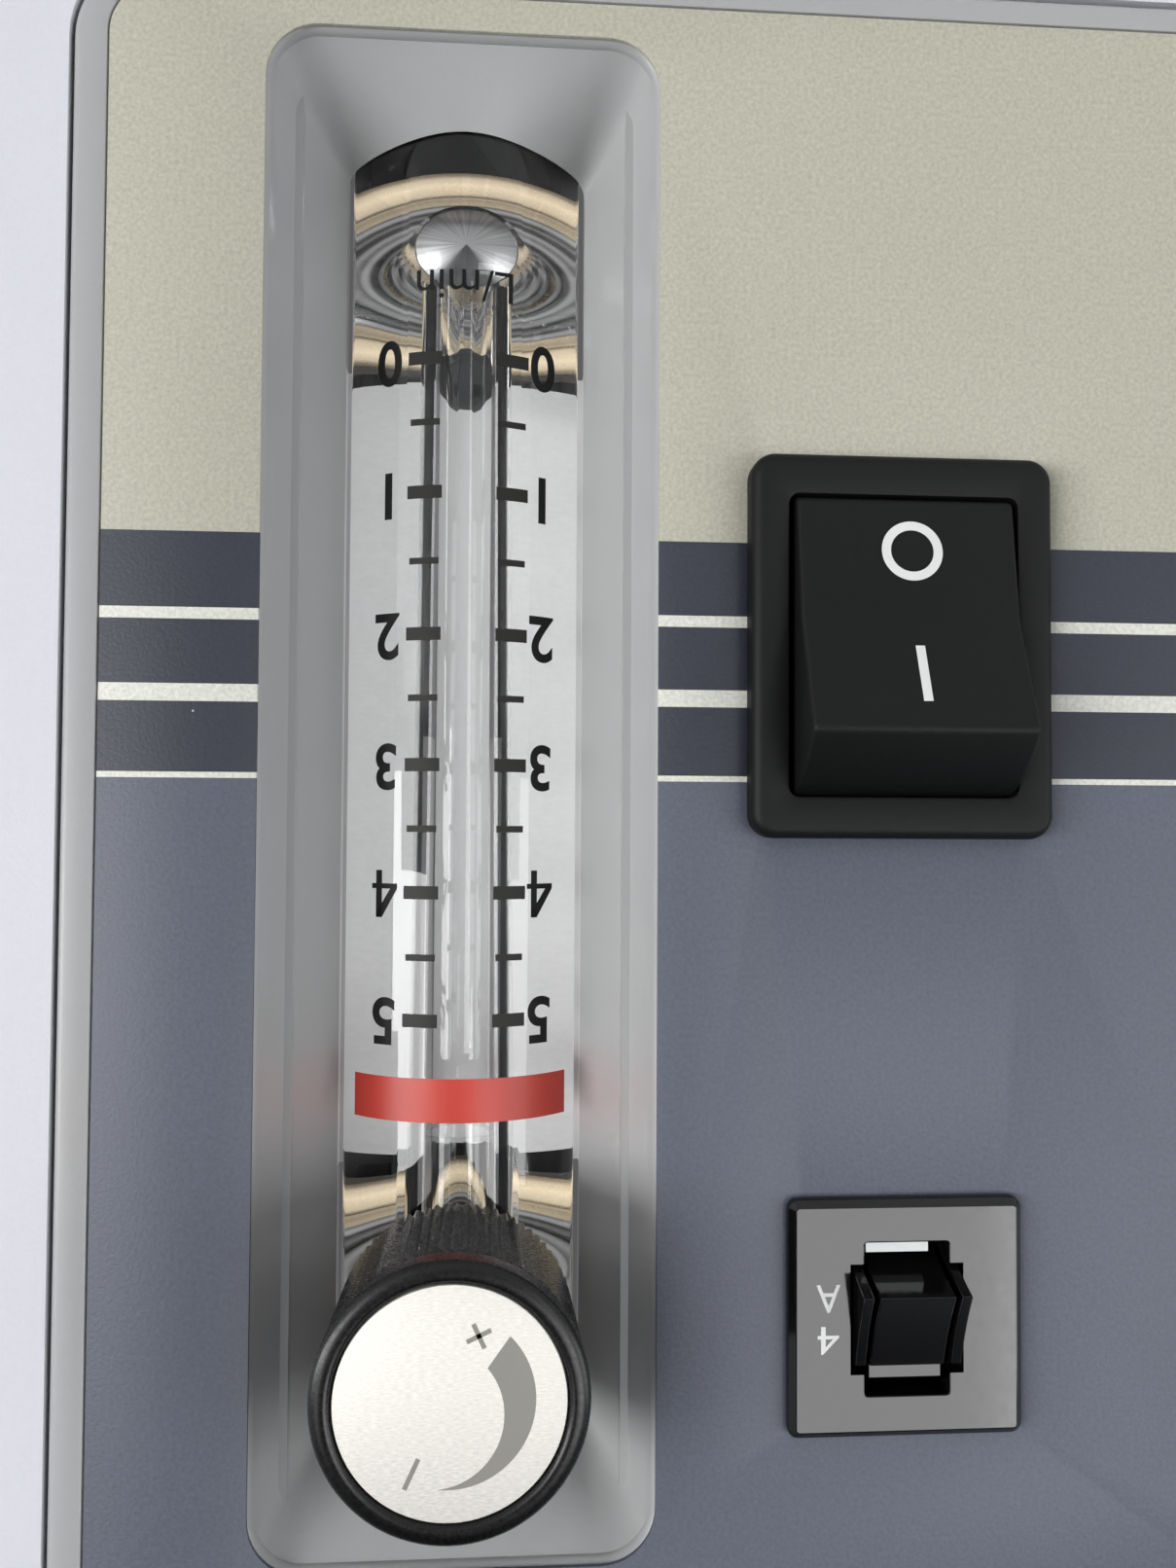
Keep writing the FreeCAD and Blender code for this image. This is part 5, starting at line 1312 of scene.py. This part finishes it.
def toggle_half(points, edge):
    """Half an outline: its end, then a shallow hollow up to the crest."""
    middle = (Vector(edge) + Vector(toggle_crest)) / 2
    along = (Vector(toggle_crest) - Vector(edge)).normalized()
    low = middle + toggle_hollow * Vector((-along.y, along.x))
    return points + arc_through(edge, low, toggle_crest, 10)


def toggle_slab(bm, points, x0, x1):
    """An upright slab of the toggle between two x, from half its outline."""
    whole = list(points) + [(-z, out) for z, out in reversed(points[:-1])]
    pivot = toggle_pivot
    ring = [vert_at(bm, pivot.x + x0, pivot.y - out, pivot.z + z) for z, out in whole]
    slab(bm, ring, (x1 - x0, 0, 0))


def breaker_toggle():
    """A ridged paddle between two fins, rocked to its closed side."""
    bm = bmesh.new()
    step = (toggle_edge[0] - 0.6 * math.sin(toggle_tilt),
            toggle_edge[1] - 0.6 * math.cos(toggle_tilt))
    paddle = toggle_half([(5.19, -2.5), toggle_foot, step], toggle_edge)
    fin = toggle_half([(ear_end[0], -2.5)], ear_end)
    toggle_slab(bm, paddle, -toggle_w / 2, toggle_w / 2)
    toggle_slab(bm, fin, slot_w / 2, slot_w / 2 + ear_t)
    toggle_slab(bm, fin, -slot_w / 2 - ear_t, -slot_w / 2)
    bmesh.ops.recalc_face_normals(bm, faces=bm.faces)
    soften(bm, sharp_edges(bm, 20), 0.13)
    axle_r = 2.0
    drum(bm, toggle_pivot, axle_r, slot_w + 2 * ear_t - 0.2, 32)
    tilt(bm, toggle_pivot, toggle_tilt)
    piece(bm, "breaker_toggle", materials["gloss_black"], "breaker_rocker",
          ["breaker_rocker"], crease=12)


def breaker_letters():
    bm = bmesh.new()
    for letter, dz, width in (("A", 39.6, 0.91), ("4", 42.9, 1.2)):
        spot = (breaker_x + 6.45, panel_z + dz)
        lettering(bm, letter, 2.2, spot, plate_low.y - INK, width, weight=0)
    piece(bm, "breaker_letters", print_white, "cabinet")


for make in (make_camera, bezel_moulding, overlay_sheet, acrylic_block, flow_scale,
             float_and_bore, backing_film, port_details, knob_grip, knob_face,
             knob_marks, switch_frame, switch_paddle, switch_marks, breaker_plate,
             breaker_toggle, breaker_letters):
    make()


# ---- carried-over solids -------------------------------------------------------------
for name, node in nodes.items():
    node.data.materials.clear()
    node.data.materials.append(materials[slot_of.get(name, "cabinet_white")])
# The backing's glow and the collars' emission bands are painted light.
nodes["backing_plate"].data.materials[0] = materials["backing"]
nodes["flow_stubs"].data.materials[0] = materials["collars"]


# ---- light and floor -----------------------------------------------------------------
def lamp(name, spot, target, size, power, highlights_only=False):
    """A soft box, placed and sized in metres."""
    data = bpy.data.lights.new(name, "AREA")
    data.shape = "RECTANGLE"
    data.size, data.size_y = size
    data.energy = power
    made = bpy.data.objects.new(name, data)
    scene.collection.objects.link(made)
    way = Vector(target) - Vector(spot)
    made.matrix_world = (Matrix.Translation(spot)
                         @ way.to_track_quat("-Z", "Y").to_matrix().to_4x4())
    made.visible_diffuse = not highlights_only


def floor_material():
    """A pale floor: what looks at it sees it lifted, and the shadow stays on it."""
    finish = Finish("studio_floor", Roughness=0.7)
    tree = finish.tree
    paint = grey(tree, drift(tree, finish.grain(6.0)[0], 0.74, 0.77))
    finish.feed("Base Color", paint)
    finish.feed("Emission Color", paint)
    seen = seen_by(tree, "Camera", "Transmission", "Glossy")
    finish.feed("Emission Strength", times(tree, seen, 0.18))
    return finish.material


def studio():
    """A pale floor, a room that is brighter to the sides than overhead, and lamps."""
    bm = bmesh.new()
    bmesh.ops.create_grid(bm, x_segments=1, y_segments=1, size=6000)
    floor = piece(bm, "studio_floor", floor_material())
    world = bpy.data.worlds.new("studio")
    scene.world = world
    world.use_nodes = True
    tree = world.node_tree
    back = tree.nodes["Background"]
    back.inputs["Color"].default_value = (0.90, 0.95, 1.0, 1)
    way = add(tree, "ShaderNodeTexCoord").outputs["Generated"]
    x, y, z = add(tree, "ShaderNodeSeparateXYZ", {"Vector": way}).outputs
    glow = calc(tree, "ADD", times(tree, calc(tree, "ABSOLUTE", x), 0.45),
                times(tree, y, 0.18))
    glow = calc(tree, "ADD", glow, span(tree, z, 0.0, 0.6, 0.46, 0.04))
    seen = seen_by(tree, "Camera", "Transmission")
    strength = add(tree, "ShaderNodeMix", {0: seen, 2: glow, 3: 0.95})
    tree.links.new(strength.outputs[0], back.inputs["Strength"])
    lamp("key", (1.9, -1.7, 0.75), (0, -0.1, 0.5), (1.8, 0.7), 40)
    for name, x, power in (("left_strip", 1.15, 8), ("right_strip", -1.1, 6)):
        lamp(name, (x, -2.2, 0.9), (0.02, -0.15, 0.5), (0.5, 1.7), power, True)
    lamp("fill", (-2.2, -1.6, 1.0), (0, 0, 0.5), (1.4, 1.2), 18)
    lamp("rear", (-0.8, 2.4, 2.0), (0, 0, 0.4), (1.6, 1.2), 44)
    lamp("card", (-0.38, -1.23, 0.95), (-0.015, -0.15, 0.55), (0.46, 0.46), 3.6, True)


studio()
scene.view_settings.view_transform = "Standard"
